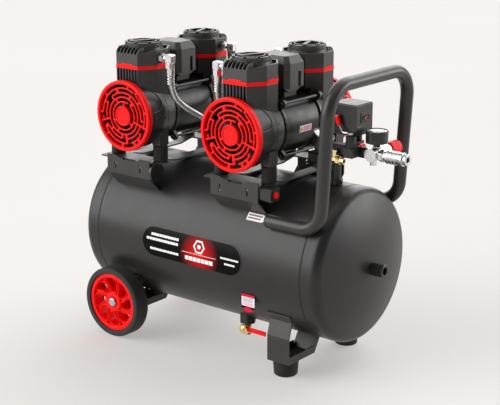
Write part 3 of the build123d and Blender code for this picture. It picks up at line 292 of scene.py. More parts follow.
class Shape:
    """Geometry collected in millimetres, then made into one piece that rides on a body."""

    def __init__(self):
        self.mesh = bmesh.new()

    def faces(self, points, faces, where=Matrix()):
        verts = [self.mesh.verts.new(where @ Vector(p)) for p in points]
        for face in faces:
            self.mesh.faces.new([verts[i] for i in face])

    def lathe(self, profile, where, segments, closed=True):
        """Turns (radius, height) points about the local Z axis; closed joins the last to the first."""
        points, faces = [], []
        count = len(profile)
        for step in range(segments):
            angle = tau * step / segments
            points += [(r * cos(angle), r * sin(angle), h) for r, h in profile]
        last = count if closed else count - 1
        for step in range(segments):
            a, b = step * count, (step + 1) % segments * count
            for i in range(last):
                j = (i + 1) % count
                faces.append((a + i, b + i, b + j, a + j))
        self.faces(points, faces, where)

    def prism(self, outline, low, high, where):
        """A closed outline of (x, y) points between two heights."""
        count = len(outline)
        points = [(x, y, low) for x, y in outline] + [(x, y, high) for x, y in outline]
        sides = [(i, (i + 1) % count, (i + 1) % count + count, i + count) for i in range(count)]
        ends = [tuple(range(count - 1, -1, -1)), tuple(range(count, 2 * count))]
        self.faces(points, sides + ends, where)

    def sweep(self, path, section):
        """Carries a closed section of (across, up) points along a path of (centre, across, up)."""
        count, points, faces = len(section), [], []
        for centre, across, up in path:
            points += [centre + across * u + up * v for u, v in section]
        rings = len(path)
        for ring in range(rings - 1):
            a, b = ring * count, (ring + 1) * count
            for i in range(count):
                j = (i + 1) % count
                faces.append((a + i, a + j, b + j, b + i))
        faces.append(tuple(range(count - 1, -1, -1)))
        faces.append(tuple(range((rings - 1) * count, rings * count)))
        self.faces(points, faces)

    def piece(self, name, slot, body="machine", look=None, bevel=0.0, merge=True):
        """Ends the shape: one named piece with its slot, body, look and bevel."""
        if merge:
            bmesh.ops.remove_doubles(self.mesh, verts=self.mesh.verts, dist=MERGE_GAP)
        bmesh.ops.recalc_face_normals(self.mesh, faces=self.mesh.faces)
        for vert in self.mesh.verts:
            vert.co = place(*vert.co)
        for face in self.mesh.faces:
            face.smooth = True
        data = bpy.data.meshes.new(name)
        self.mesh.to_mesh(data)
        self.mesh.free()
        piece = bpy.data.objects.new(name, data)
        bpy.context.scene.collection.objects.link(piece)
        data.materials.append(MATERIALS[look or slot])
        soften(piece, bevel)
        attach(piece, body)
        return piece


def soften(piece, width, segments=2, clamp=True):
    """Rounds the sharp edges by width millimetres and weights the normals."""
    if width:
        weld = piece.modifiers.new("weld", "WELD")
        weld.merge_threshold = WELD_GAP
        bevel = piece.modifiers.new("edges", "BEVEL")
        bevel.width = width * MM
        bevel.segments = segments
        bevel.limit_method = "ANGLE"
        bevel.angle_limit = radians(SHARP_ANGLE)
        bevel.use_clamp_overlap = clamp
        bevel.miter_outer = "MITER_ARC"
    normals = piece.modifiers.new("normals", "WEIGHTED_NORMAL")
    normals.keep_sharp = True


# ---- hoses ----

# The hose's length is in metres, its other sizes are in millimetres.
HOSE_R = 7.0
HOSE_STEPS = 150
ELBOW_SIDE, ELBOW_Y, ELBOW_Z = 78.0, -97.0, 561.95
VALVE_MIDDLE = Vector((-42.0, 0.0, 425.0))
VALVE_PORT_REACH = 30.05
CORE_INSET = 0.7
STRANDS = 12
BRAID_TURNS = 5.0
STRAND_SINK = 0.35
STRAND_LEAN = 0.75
WEAVE_HEIGHT = 0.22
# Across a strand's ribbon: the way sideways and outward from its middle line.
RIBBON = ((-0.85, -0.25), (0.0, 0.0), (0.85, -0.25))
FERRULE = (
    [(7.2, 0.3), (8.1, 0.3), (8.4, 1.2)]
    + [(r, ring + h) for ring in (4.0, 9.0, 14.0)
       for r, h in ((8.4, 0.0), (7.8, 0.8), (7.8, 2.2), (8.4, 3.0))]
    + [(8.2, 19.0), (7.6, 19.6), (7.2, 19.6)]
)


def hose_route(unit, end):
    """The hose's points as the CAD routes them: ferrule, drop, sweep inwards, valve port."""
    side = INNER[unit]
    x = UNITS[unit] + side * ELBOW_SIDE
    port_way = Vector((-side / 2, -0.5, sqrt(0.5)))
    port = VALVE_MIDDLE + port_way * VALVE_PORT_REACH
    route = [
        Vector((x, ELBOW_Y, ELBOW_Z)),
        Vector((x, ELBOW_Y, 530.0)),
        Vector((x + side * 7.0, -75.0, 497.0)),
        port + port_way * 24.0,
        port,
    ]
    return [Vector((p.x, p.y * ENDS[end], p.z)) for p in route]


def spline_piece(name, points):
    curve = bpy.data.curves.new(name, "CURVE")
    curve.dimensions = "3D"
    spline = curve.splines.new("NURBS")
    spline.points.add(len(points) - 1)
    for knot, point in zip(spline.points, points):
        knot.co = (*place(*point), 1.0)
    spline.order_u = 3
    spline.use_endpoint_u = True
    spline.resolution_u = 40
    piece = bpy.data.objects.new(name, curve)
    bpy.context.scene.collection.objects.link(piece)
    return piece


def followed(piece):
    """Points along a curve's own line, in millimetres from the tank's middle."""
    line = bpy.data.meshes.new_from_object(piece)
    points = [(v.co - place(0, 0, 0)) / MM for v in line.vertices]
    bpy.data.meshes.remove(line)
    return points


def evenly(points, count):
    """The same line as count + 1 evenly spaced points."""
    reach = [0.0]
    for a, b in zip(points, points[1:]):
        reach.append(reach[-1] + (b - a).length)
    even, at = [], 0
    for step in range(count + 1):
        target = reach[-1] * step / count
        while at < len(points) - 2 and reach[at + 1] < target:
            at += 1
        share = (target - reach[at]) / (reach[at + 1] - reach[at])
        even.append(points[at].lerp(points[at + 1], share))
    return even


def frames_along(points):
    """(point, across, up, along) at each point, turning as little as possible."""
    frames, across = [], Vector((0, 1, 0))
    for index, point in enumerate(points):
        along = points[min(index + 1, len(points) - 1)] - points[max(index - 1, 0)]
        along.normalize()
        across = (across - along * across.dot(along)).normalized()
        frames.append((point, across, along.cross(across), along))
    return frames


def add_strand(braid, frames, strand, way):
    """One ribbon of the braid, wound round the hose to the left or right."""
    steps = len(frames) - 1
    points, faces = [], []
    for index, (point, across, up, along) in enumerate(frames):
        share = index / steps
        angle = tau * strand / STRANDS + way * tau * BRAID_TURNS * share
        crossing = 2 * STRANDS * BRAID_TURNS * share + (0.5 if way > 0 else 0.0)
        lift = WEAVE_HEIGHT * cos(pi * crossing + pi * strand)
        out = across * cos(angle) + up * sin(angle)
        round_way = (up * cos(angle) - across * sin(angle)) * way
        wide = (along - round_way * STRAND_LEAN).normalized()
        for offset, rise in RIBBON:
            points.append(point + out * (HOSE_R - STRAND_SINK + lift + rise) + wide * offset)
        if index:
            a = 3 * (index - 1)
            faces += [(a, a + 1, a + 4, a + 3), (a + 1, a + 2, a + 5, a + 4)]
    braid.faces(points, faces)


def make_hose(unit, end):
    hose = spline_piece(f"braided_hose_{unit}_{end}", hose_route(unit, end))
    line = evenly(followed(hose), HOSE_STEPS)
    hose.data.bevel_depth = (HOSE_R - CORE_INSET) * MM
    hose.data.bevel_resolution = 6
    hose.data.materials.append(MATERIALS["rubber_black"])
    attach(hose, "machine")
    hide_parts(f"hose_{unit}_{end}")
    frames = frames_along(line)
    braid = Shape()
    for way in (1, -1):
        for strand in range(STRANDS):
            add_strand(braid, frames, strand, way)
    strands = braid.piece(f"hose_braid_{unit}_{end}", "steel_braid", merge=False)
    ferrules = Shape()
    for inward, (point, *_, along) in ((1, frames[0]), (-1, frames[-1])):
        ferrules.lathe(FERRULE, pointed(point, along * inward), 40)
    crimps = ferrules.piece(f"hose_ferrules_{unit}_{end}", "zinc_steel")


for unit in UNITS:
    for end in ENDS:
        make_hose(unit, end)


# ---- CAD nodes ----

# Edge rounding in millimetres by the start of a node's name, and for the nodes not listed.
BEVELS = {
    "tank_barrel": 0.0, "tank_ends": 0.0, "tank_fittings": 0.8, "handle": 0.0,
    "leg_brackets": 0.7, "saddle": 0.7, "rubber_feet": 1.0, "fan_grille": 1.2,
    "intake_silencers": 0.7, "seal_bands": 0.5, "rubber_mounts": 0.5, "piston": 0.0,
    "pressure_gauges": 0.5, "reset_box": 0.8, "drain_lever": 1.2, "drain_valve": 0.9,
}
USUAL_BEVEL = 0.6


def dress_nodes():
    slots = {part["node"]: part["material_slot"] for part in frame["record"]["subparts"]}
    for name, node in nodes.items():
        node.data.materials.clear()
        node.data.materials.append(MATERIALS[slots[name]])
        width = next((w for start, w in BEVELS.items() if name.startswith(start)), USUAL_BEVEL)
        if name.startswith("fan_grille"):
            soften(node, width, segments=3, clamp=False)
        elif name == "hose_elbows" or not name.startswith("hose_"):
            soften(node, width)


dress_nodes()


# ---- wheels ----

WHEEL_X, WHEEL_Z, WHEEL_FACE = -212.0, 75.2, 173.0
TYRE_DEPTH = 15.0
SPOKES = 8
# The wheel's profiles as (radius, height), the height measured outward from its face.
RIM_RING = [
    (62.45, -31.0), (62.45, -1.6), (61.9, -0.5), (60.9, 0.0), (55.2, 0.0), (54.2, -0.4),
    (53.6, -1.4), (53.1, -6.0), (52.7, -28.0), (55.0, -31.0),
]
RIM_HUB = [
    (6.1, -38.0), (16.9, -38.0), (17.6, -14.0), (20.6, -6.5), (20.8, -3.8), (20.4, -2.9),
    (19.6, -2.5), (11.6, -2.3), (11.0, -2.7), (10.6, -4.4), (6.1, -4.4),
]
TYRE_HALF = [
    (62.5, 15.6), (62.9, 17.0), (63.9, 17.8), (70.6, 17.95), (71.2, 17.4), (71.8, 17.4),
    (72.3, 17.7), (73.1, 17.3), (74.7, 15.0), (75.15, 13.6), (75.2, 9.4), (74.4, 9.0),
    (74.4, 8.0), (75.2, 7.6), (75.2, 3.4), (74.4, 3.0), (74.4, 2.0), (75.2, 1.6),
]
# The rolled lip of an opening: the way out from the opening's edge, and the height.
LIP = [(-0.4, -29.0), (0.0, -3.4), (0.4, -2.6), (1.4, -2.6), (1.8, -3.3), (2.1, -8.0), (2.2, -28.0)]
# The plate between hub and ring ends at this point of the lips, and has two faces.
WEB_LIP = 3
WEB_HEIGHTS = (-6.4, -10.9)
WEB_OUTER, WEB_INNER = 54.6, 17.4
# The openings' twist: a small turn back at the hub, then it grows with the radius.
TWIST, TWIST_BACK, TWIST_POWER = radians(17.0), radians(5.0), 1.8
TWIST_START, TWIST_SPAN = 22.0, 31.0
OPENING_IN, OPENING_OUT = 22.6, 52.0
SPOKE_HALF_IN, SPOKE_HALF_OUT = 4.4, 4.9


def rounded(corners, radii, steps=6):
    """A closed outline with each corner turned into an arc of its radius."""
    outline, count = [], len(corners)
    for index, radius in enumerate(radii):
        here = Vector(corners[index])
        before = (Vector(corners[index - 1]) - here).normalized()
        after = (Vector(corners[(index + 1) % count]) - here).normalized()
        half = before.angle(after) / 2
        centre = here + (before + after).normalized() * (radius / sin(half))
        start = here + before * (radius * cos(half) / sin(half))
        end = here + after * (radius * cos(half) / sin(half))
        first, last = start - centre, end - centre
        turn = first.angle_signed(last) if first.length and last.length else 0.0
        for step in range(steps + 1):
            outline.append(centre + Matrix.Rotation(-turn * step / steps, 2) @ first)
    return outline


def spaced(outline, gap):
    """The same outline with points added so that none are further apart than gap."""
    filled = []
    for here, after in zip(outline, outline[1:] + outline[:1]):
        count = max(1, round((after - here).length / gap))
        filled += [here.lerp(after, step / count) for step in range(count)]
    return filled


def offset_outline(outline, distance):
    """The same outline moved outward by distance, point for point."""
    moved, count = [], len(outline)
    for index in range(count):
        along = outline[(index + 1) % count] - outline[index - 1]
        normal = Vector((along.y, -along.x)).normalized()
        moved.append(outline[index] + normal * distance)
    return moved


def twisted(outline):
    """Sweeps the outer ends of the openings round, as the spokes are curved."""
    swept = []
    for point in outline:
        share = max(0.0, (point.length - TWIST_START) / TWIST_SPAN)
        swept.append(Matrix.Rotation(TWIST * share ** TWIST_POWER - TWIST_BACK, 2) @ point)
    return swept


def petal():
    """One opening of the wheel, drawn along +X: narrow and round at the hub, wide at the ring."""
    lean = radians(180.0 / SPOKES)
    inner_half = (OPENING_IN * sin(lean) - SPOKE_HALF_IN) / cos(lean)
    outer_half = (OPENING_OUT * sin(lean) - SPOKE_HALF_OUT) / cos(lean)
    shoulder = sqrt(OPENING_OUT ** 2 - outer_half ** 2)
    corners = [
        (OPENING_IN, inner_half), (OPENING_IN, -inner_half), (shoulder, -outer_half),
        (OPENING_OUT, -outer_half * 0.35), (OPENING_OUT, outer_half * 0.35), (shoulder, outer_half),
    ]
    outline = rounded(corners, [4.4, 4.4, 8.0, 12.0, 12.0, 8.0])
    return twisted(spaced(outline, 2.2))


def holed_plate(loops):
    """A flat plate inside the first loop, open inside the others: its points and triangles."""
    web, edges = bmesh.new(), []
    for loop in loops:
        verts = [web.verts.new((p[0], p[1], 0.0)) for p in loop]
        edges += [web.edges.new((a, b)) for a, b in zip(verts, verts[1:] + verts[:1])]
    bmesh.ops.triangle_fill(web, use_beauty=True, use_dissolve=False, edges=edges)
    web.verts.index_update()
    flat = [v.co.copy() for v in web.verts]
    triangles = [[v.index for v in face.verts] for face in web.faces]
    web.free()
    return flat, triangles


def make_rim(end):
    sign = ENDS[end]
    where = turned((WHEEL_X, -sign * WHEEL_FACE, WHEEL_Z), 90.0 * sign, "X")
    rim = Shape()
    rim.lathe(RIM_RING, where, 128)
    rim.lathe(RIM_HUB, where, 96)
    opening = petal()
    count = len(opening)
    rings = [offset_outline(opening, distance) for distance, _ in LIP]
    points = [(p.x, p.y, height) for ring, (_, height) in zip(rings, LIP) for p in ring]
    faces = []
    for level in range(len(LIP)):
        a, b = level * count, (level + 1) % len(LIP) * count
        for i in range(count):
            j = (i + 1) % count
            faces.append((a + i, a + j, b + j, b + i))
    loops = [circle(WEB_OUTER, 128), circle(WEB_INNER, 64)]
    mirror = Matrix.Scale(sign, 4, (0, 1, 0))
    for index in range(SPOKES):
        spin = Matrix.Rotation(tau * index / SPOKES * sign, 4, "Z")
        rim.faces(points, faces, where @ spin @ mirror)
        loops.append([(spin @ mirror) @ Vector((p.x, p.y, 0.0)) for p in rings[WEB_LIP]])
    flat, triangles = holed_plate(loops)
    for height in WEB_HEIGHTS:
        rim.faces([(p.x, p.y, height) for p in flat], triangles, where)
    piece = rim.piece(f"spoked_rim_{end}", "signal_red", f"wheel_{end}", merge=False)
    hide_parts(f"wheel_rim_{end}")


def make_tyre(end):
    sign = ENDS[end]
    where = turned((WHEEL_X, -sign * (WHEEL_FACE - TYRE_DEPTH), WHEEL_Z), 90.0 * sign, "X")
    tyre = Shape()
    tyre.lathe(TYRE_HALF + [(r, -h) for r, h in TYRE_HALF[::-1]], where, 144)
    piece = tyre.piece(f"rubber_tyre_{end}", "tyre_rubber", f"wheel_{end}")
    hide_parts(f"tyre_{end}")


for end in ENDS:
    make_rim(end)
    make_tyre(end)


# ---- labels on the barrel and the motor ----

# How far the name plate's layers stand out from the barrel.
BORDER_LIFT, FACE_LIFT, BLOCK_LIFT = 0.55, 0.75, 0.9
BLOCK_UNDER = 0.5
PLATE_MIDDLE, PLATE_R = 8.7, 33.5
PLATE_X0, PLATE_X1 = -138.0, 126.0
FACE_X0, FACE_X1, FACE_INSET = -135.2, 123.2, 2.6
# Lines of plain blocks: x limits, middle arc, height and the blocks' relative widths.
PLATE_LINES = [
    (-112.0, -38.0, 24.3, 5.4, (1.0, 1.2, 0.9, 1.1, 1.0, 1.2, 0.9, 1.1, 1.0, 1.1)),
    (-124.0, -39.0, 14.2, 5.4, (1.1, 0.9, 1.2, 1.0, 1.1, 0.9, 1.2, 1.0, 0.9, 1.2, 1.0)),
    (-115.0, -38.0, -6.2, 5.0, (1.2, 1.0, 1.2, 0.9, 0.6, 1.1, 0.4, 1.0, 1.1, 1.0, 1.0)),
    (72.0, 117.0, 10.1, 3.6, (1.0, 0.6, 1.0, 1.2, 0.5, 1.3, 1.0, 1.0)),
    (82.0, 108.0, -0.8, 3.8, (1.0, 1.1, 0.9, 1.0)),
    (-20.0, 52.0, -7.4, 8.4, (1.0, 0.9, 1.1, 1.0, 0.9, 1.0, 1.1)),
]
HEXAGON_X, HEXAGON_ARC, HEXAGON_RADII = 16.0, 20.0, (11.2, 15.0)
LABEL_X0, LABEL_X1, LABEL_MIDDLE, LABEL_R = 113.5, 157.5, 103.5, 8.5
LABEL_LINES = [
    (117.0, 150.0, 107.0, 3.2, (1.1, 0.8, 1.3, 1.0, 0.9, 1.2, 1.0)),
    (117.0, 147.0, 100.8, 3.0, (0.9, 1.2, 1.0, 1.1, 0.8, 1.0)),
]


def on_barrel(x, arc, lift, side=1):
    """A point on the barrel's front, or its back for side -1, arc millimetres above mid height."""
    angle = arc / TANK_R
    radius = TANK_R + lift
    return (x, -side * radius * cos(angle), TANK_Z + radius * sin(angle))


def slab(shape, low, high, extent, lift, rows, under=0.15, side=1):
    """A thin film on the barrel between two arcs; extent gives its x limits at an arc."""
    points, faces = [], []
    for row in range(rows + 1):
        arc = low + (high - low) * row / rows
        x0, x1 = extent(arc)
        for height in (lift, under):
            points += [on_barrel(x0, arc, height, side), on_barrel(x1, arc, height, side)]
        if row:
            a, b = 4 * (row - 1), 4 * row
            faces += [(a, a + 1, b + 1, b), (a + 2, b + 2, b + 3, a + 3)]
            faces += [(a, b, b + 2, a + 2), (a + 1, a + 3, b + 3, b + 1)]
    last = 4 * rows
    faces += [(0, 2, 3, 1), (last, last + 1, last + 3, last + 2)]
    shape.faces(points, faces)


def bar(x0, x1):
    return lambda arc: (x0, x1)


def capsule(x0, x1, middle, radius):
    """X limits of a bar with round ends."""
    def extent(arc):
        inset = radius - sqrt(max(0.0, radius ** 2 - (arc - middle) ** 2))
        return (x0 + inset, x1 - inset)
    return extent


def dashes(shape, lines, lift):
    """Lines of plain blocks, standing in for lettering."""
    for x0, x1, arc, height, widths in lines:
        gap = 0.16 * height
        unit = (x1 - x0 - gap * (len(widths) - 1)) / sum(widths)
        x = x0
        for width in widths:
            slab(shape, arc - height / 2, arc + height / 2, bar(x, x + width * unit), lift, 2)
            x += width * unit + gap


def add_hexagon(shape):
    """A plain open hexagon on the name plate, one box per side."""
    for side in range(6):
        points = []
        for angle in (tau * side / 6, tau * (side + 1) / 6):
            for r in HEXAGON_RADII:
                x, arc = HEXAGON_X + r * cos(angle), HEXAGON_ARC + r * sin(angle)
                points += [on_barrel(x, arc, BLOCK_LIFT), on_barrel(x, arc, BLOCK_UNDER)]
        shape.faces(points, [(0, 2, 6, 4), (1, 5, 7, 3), (0, 4, 5, 1), (2, 3, 7, 6),
                             (0, 1, 3, 2), (4, 6, 7, 5)])


def make_name_plate():
    border, face, blocks = Shape(), Shape(), Shape()
    outer, inner = PLATE_R, PLATE_R - FACE_INSET
    slab(border, PLATE_MIDDLE - outer, PLATE_MIDDLE + outer,
         capsule(PLATE_X0, PLATE_X1, PLATE_MIDDLE, outer), BORDER_LIFT, 48)
    border.piece("name_plate_border", "tank_coat", merge=False)
    slab(face, PLATE_MIDDLE - inner, PLATE_MIDDLE + inner,
         capsule(FACE_X0, FACE_X1, PLATE_MIDDLE, inner), FACE_LIFT, 48, under=0.4)
    face.piece("name_plate_face", "motor_paint", look="name_plate", merge=False)
    dashes(blocks, PLATE_LINES, BLOCK_LIFT)
    slab(blocks, 3.6, 4.5, bar(-28.0, 60.0), BLOCK_LIFT, 2)
    add_hexagon(blocks)
    slab(blocks, 15.5, 24.5, capsule(11.5, 20.5, HEXAGON_ARC, 4.5), BLOCK_LIFT, 12)
    blocks.piece("name_plate_blocks", "motor_paint", look="print_white", merge=False)


def add_half_round(shape, inset, lift):
    """The small label's outline, square at its left end and round at its right, drawn inset."""
    x0, radius = LABEL_X0 + inset, LABEL_R - inset
    whole = capsule(x0 - 2 * radius, LABEL_X1 - inset, LABEL_MIDDLE, radius)
    slab(shape, LABEL_MIDDLE - radius, LABEL_MIDDLE + radius, lambda arc: (x0, whole(arc)[1]), lift, 20)


def make_small_label():
    """Caution label to the right of the name plate."""
    edge, label, lines = Shape(), Shape(), Shape()
    add_half_round(edge, 0.0, 0.3)
    add_half_round(label, 0.8, 0.45)
    dashes(lines, LABEL_LINES, 0.6)
    edge.piece("tank_label_edge", "motor_paint", look="print_pink", merge=False)
    label.piece("tank_label", "motor_paint", look="print_white", merge=False)
    lines.piece("tank_label_lines", "motor_paint", look="print_grey", merge=False)


TAG_Y = -145.6
TAG_X0, TAG_X1 = 117.5, 151.0
TAG_TOP, TAG_LOW, TAG_TIP = 163.0, 135.0, 124.5


def make_drain_tag():
    """Stiff tag glued to the barrel by its top edge and hanging down in front of the drain."""
    x0, x1, tip = TAG_X0, TAG_X1, TAG_TIP
    middle = (x0 + x1) / 2
    upright = turned((0, TAG_Y, 0), 90.0, "X")
    back = Shape()
    back.prism([(x0, TAG_LOW), (middle, tip - 1.2), (x1, TAG_LOW), (x1, TAG_TOP), (x0, TAG_TOP)],
               -0.3, 0.3, upright)
    back.piece("drain_tag", "motor_paint", look="print_black", merge=False)
    arrow = [(middle, tip), (x1 - 2.0, 131.5), (middle + 8.0, 132.8), (middle + 8.0, 135.4),
             (middle - 8.0, 135.4), (middle - 8.0, 132.8), (x0 + 2.0, 131.5)]
    parts = {
        "print_red": [oblong(x0 + 0.8, x1 - 0.8, 157.0, 162.2), arrow],
        "print_white": [oblong(x0 + 0.8, x1 - 0.8, 138.0, 156.6)],
        "print_grey": [oblong(x0 + inset, x1 - inset, low, low + 1.3)
                       for inset, low in ((4.0, 153.6), (3.0, 150.4), (5.0, 147.4))],
        "print_pink": [oblong(x0 + 3.0, x1 - 3.0, low, low + 1.9) for low in (143.2, 140.2)],
    }
    for ink, outlines in parts.items():
        front = 0.55 if ink in ("print_red", "print_white") else 0.7
        shape = Shape()
        for outline in outlines:
            shape.prism(outline, 0.2, front, upright)
        shape.piece(f"drain_tag_{ink}", "motor_paint", look=ink, merge=False)


MOTOR_R = 61.0
MOTOR_LABEL_Y0, MOTOR_LABEL_Y1 = -14.5, 24.0


def add_motor_film(shape, low, high, y0, y1, lift):
    """A film on the right motor's side between two angles and two y."""
    points = []
    for angle in (radians(low), radians((low + high) / 2), radians(high)):
        for r in (MOTOR_R + lift, MOTOR_R + 0.02):
            for y in (y0, y1):
                points.append((UNITS["right"] + r * cos(angle), y, MOTOR_Z + r * sin(angle)))
    shape.faces(points, [(0, 4, 5, 1), (4, 8, 9, 5), (2, 3, 7, 6), (6, 7, 11, 10), (0, 1, 3, 2),
                         (8, 10, 11, 9), (0, 2, 6, 4), (4, 6, 10, 8), (1, 5, 7, 3), (5, 9, 11, 7)])


def make_motor_label():
    """Small caution film: plain lines and a stepped orange sign."""
    y0, y1 = MOTOR_LABEL_Y0, MOTOR_LABEL_Y1
    label, lines, sign = Shape(), Shape(), Shape()
    add_motor_film(label, -11.0, 1.5, y0, y1, 0.25)
    for low in (-9.6, -6.4, -3.2):
        add_motor_film(lines, low, low + 2.6, y0 + 13.0, y1 - 2.0, 0.35)
    for step in range(4):
        low, inset = -9.2 + 2.2 * step, 1.1 * step
        add_motor_film(sign, low, -7.1 + 2.2 * step, y0 + 2.0 + inset, y0 + 11.0 - inset, 0.35)
    label.piece("motor_label", "motor_paint", look="print_white", merge=False)
    lines.piece("motor_label_lines", "motor_paint", look="print_pink", merge=False)
    sign.piece("motor_label_sign", "motor_paint", look="print_orange", merge=False)


make_name_plate()
make_small_label()
make_drain_tag()
make_motor_label()


# ---- gauges and switch ----

# Heights on a gauge are measured from its case's top, in millimetres.
DIAL_R, DIAL_Z = 19.5, -2.5
SCALE_START, SCALE_SWEEP, SCALE_STEPS = 225.0, -270.0, 40
TICKS_PER_LONG = 4
SCALE_NUMBERS = 6
NUMBER_R, NUMBER_SIZE = 12.0, 3.6
BEZEL = [
    (19.3, -1.4), (20.0, -0.5), (21.0, -0.5), (21.75, -0.9), (21.9, -1.8), (21.9, -4.6),
    (21.5, -4.8), (21.5, -2.4), (19.6, -2.2),
]
GLASS = [(0.05, -0.5), (9.0, -0.62), (19.3, -1.0), (19.3, -1.4), (0.05, -0.9)]


def number_mesh(text, size):
    """The outlines of a number as thin solids: their points and faces."""
    curve = bpy.data.curves.new("number", "FONT")
    curve.body = text
    curve.size = size
    curve.align_x = "CENTER"
    curve.align_y = "CENTER"
    curve.extrude = 0.04
    holder = bpy.data.objects.new("number", curve)
    bpy.context.scene.collection.objects.link(holder)
    bpy.context.view_layer.update()
    mesh = bpy.data.meshes.new_from_object(holder)
    points = [v.co.copy() for v in mesh.vertices]
    faces = [tuple(p.vertices) for p in mesh.polygons]
    bpy.data.objects.remove(holder)
    bpy.data.meshes.remove(mesh)
    bpy.data.curves.remove(curve)
    return points, faces


def add_scale(scale, where):
    """Ticks and numbers of one dial."""
    for step in range(SCALE_STEPS + 1):
        angle = radians(SCALE_START + SCALE_SWEEP * step / SCALE_STEPS)
        inner, wide = (16.6, 0.18) if step % TICKS_PER_LONG else (15.0, 0.35)
        tick = where @ Matrix.Rotation(angle, 4, "Z")
        scale.prism(oblong(inner, 18.2, -wide, wide), DIAL_Z + 0.3, DIAL_Z + 0.45, tick)
    for index in range(SCALE_NUMBERS):
        angle = radians(SCALE_START + SCALE_SWEEP * index / (SCALE_NUMBERS - 1))
        points, faces = number_mesh(str(2 * index), NUMBER_SIZE)
        spot = (NUMBER_R * cos(angle), NUMBER_R * sin(angle), DIAL_Z + 0.42)
        scale.faces(points, faces, where @ Matrix.Translation(spot))


def make_gauge(name, where):
    """Dial, scale, needle, glass and bezel of one gauge."""
    dial, scale, needle, bezel, glass = Shape(), Shape(), Shape(), Shape(), Shape()
    dial.lathe(oblong(0.3, DIAL_R, DIAL_Z + 0.05, DIAL_Z + 0.35), where, 72)
    dial.piece(f"{name}_dial", "gauge_black", look="print_white")
    add_scale(scale, where)
    scale.piece(f"{name}_scale", "gauge_black", look="print_black", merge=False)
    zero = where @ Matrix.Rotation(radians(SCALE_START), 4, "Z")
    pointer = [(-5.0, -0.7), (14.5, -0.15), (14.5, 0.15), (-5.0, 0.7)]
    needle.prism(pointer, DIAL_Z + 0.75, DIAL_Z + 1.05, zero)
    hub = [(0.1, 0.4), (2.2, 0.4), (2.2, 1.3), (1.7, 1.6), (0.1, 1.6)]
    needle.lathe([(r, DIAL_Z + rise) for r, rise in hub], where, 32)
    needle.piece(f"{name}_needle", "gauge_black")
    bezel.lathe(BEZEL, where, 96)
    bezel.piece(f"{name}_bezel", "gauge_black")
    glass.lathe(GLASS, where, 72)
    glass.piece(f"{name}_glass", "gauge_black", look="glass")


make_gauge("line_gauge", turned((322.0, 10.0, 490.0), 60.0, "Z"))
make_gauge("side_gauge", turned((211.5, -6.0, 469.5), 24.0, "Y") @ Matrix.Rotation(radians(30.0), 4, "Z"))


# The switch panel is drawn in the object's y and z on the switch's face, then scaled about its middle.
PANEL_X = 294.0
PANEL_MIDDLE = Vector((10.25, 511.25, 0.0))
PANEL_SCALE = 0.84
PANEL_AXES = Matrix(((0, 0, 1, 0), (1, 0, 0, 0), (0, 1, 0, 0), (0, 0, 0, 1)))
PANEL_MARKS = {
    "print_green": [oblong(-2.5, 6.5, 503.5, 505.0), [(0.0, 507.0), (4.0, 507.0), (2.0, 511.0)]],
    "print_red": [oblong(10.0, 24.0, 503.0, 505.2), oblong(16.0, 20.0, 507.5, 513.5)],
    "print_white": [[(8.0, 507.0), (9.4, 507.0), (12.6, 513.0), (11.2, 513.0)]],
}


def make_switch_panel():
    """Rocker window of the pressure switch on its +X face."""
    face = Matrix.Translation((PANEL_X, 0, 0)) @ PANEL_AXES @ Matrix.Translation(PANEL_MIDDLE)
    face = face @ Matrix.Diagonal((PANEL_SCALE, PANEL_SCALE, 1.0, 1.0)) @ Matrix.Translation(-PANEL_MIDDLE)
    surround, window = Shape(), Shape()
    outer = rounded(oblong(-8.0, 28.5, 500.0, 523.5), [2.0] * 4, 5)
    surround.prism([(p.x, p.y) for p in outer], -0.2, 0.9, face)
    surround.prism(oblong(-5.0, 26.0, 517.0, 521.5), 0.5, 1.2, face)
    surround.piece("switch_panel", "housing_plastic", look="fitting_black", bevel=0.3)
    window.prism(oblong(-5.0, 26.0, 502.0, 515.5), 0.4, 1.25, face)
    window.piece("switch_window", "housing_plastic", look="print_black", bevel=0.2)
    for ink, outlines in PANEL_MARKS.items():
        mark = Shape()
        for outline in outlines:
            mark.prism(outline, 1.0, 1.45, face)
        mark.piece(f"switch_{ink}", "housing_plastic", look=ink, merge=False)


make_switch_panel()


# ---- pump details ----

def smooth_line(points, steps):
    """Points along a curve that passes through the given ones."""
    points = [Vector(p) for p in points]
    padded = [points[0] * 2 - points[1], *points, points[-1] * 2 - points[-2]]
    line = []
    for a, b, c, d in zip(padded, padded[1:], padded[2:], padded[3:]):
        for step in range(steps):
            t = step / steps
            line.append((b * 2 + (c - a) * t + (a * 2 - b * 5 + c * 4 - d) * t ** 2
                         + (b * 3 - a - c * 3 + d) * t ** 3) / 2)
    return line + [points[-1]]


DRUM_R, DRUM_BACK_R = 70.0, 62.0
DRUM_BACK, DRUM_FULL = 62.0, 112.0


def drum_radius(y):
    """Outer radius of a crankcase drum at a distance y from the motor's middle."""
    if y > DRUM_FULL:
        return DRUM_R
    return DRUM_BACK_R + (y - DRUM_BACK) * (DRUM_R - DRUM_BACK_R) / (DRUM_FULL - DRUM_BACK)


# Edge of the front shroud beside a fan grille: x, y and height from the motor's axis.
SHROUD_EDGE = [
    (33.0, -139.0, 61.0), (45.0, -124.0, 52.0), (54.0, -114.0, 42.0), (62.0, -109.5, 29.0),
    (66.0, -112.0, 20.0), (68.0, -119.0, 14.5), (69.0, -131.0, 12.5), (69.0, -145.0, 12.0),
]
EDGE_BEAD_R = 1.3
SPLIT_Y, SPLIT_RISE = 92.0, 0.4
# Small round things on a drum: x, y, height from the motor's axis, radius, rise.
# Black discs at the vent holes: painted shade of the holes.
VENT_SHADES = [(65.0, -104.0, -3.0, 1.9, 0.5), (62.0, -86.0, 18.0, 1.4, 0.5)]
SCREWS = [(70.0, -135.5, -2.0, 2.3, 0.9)]


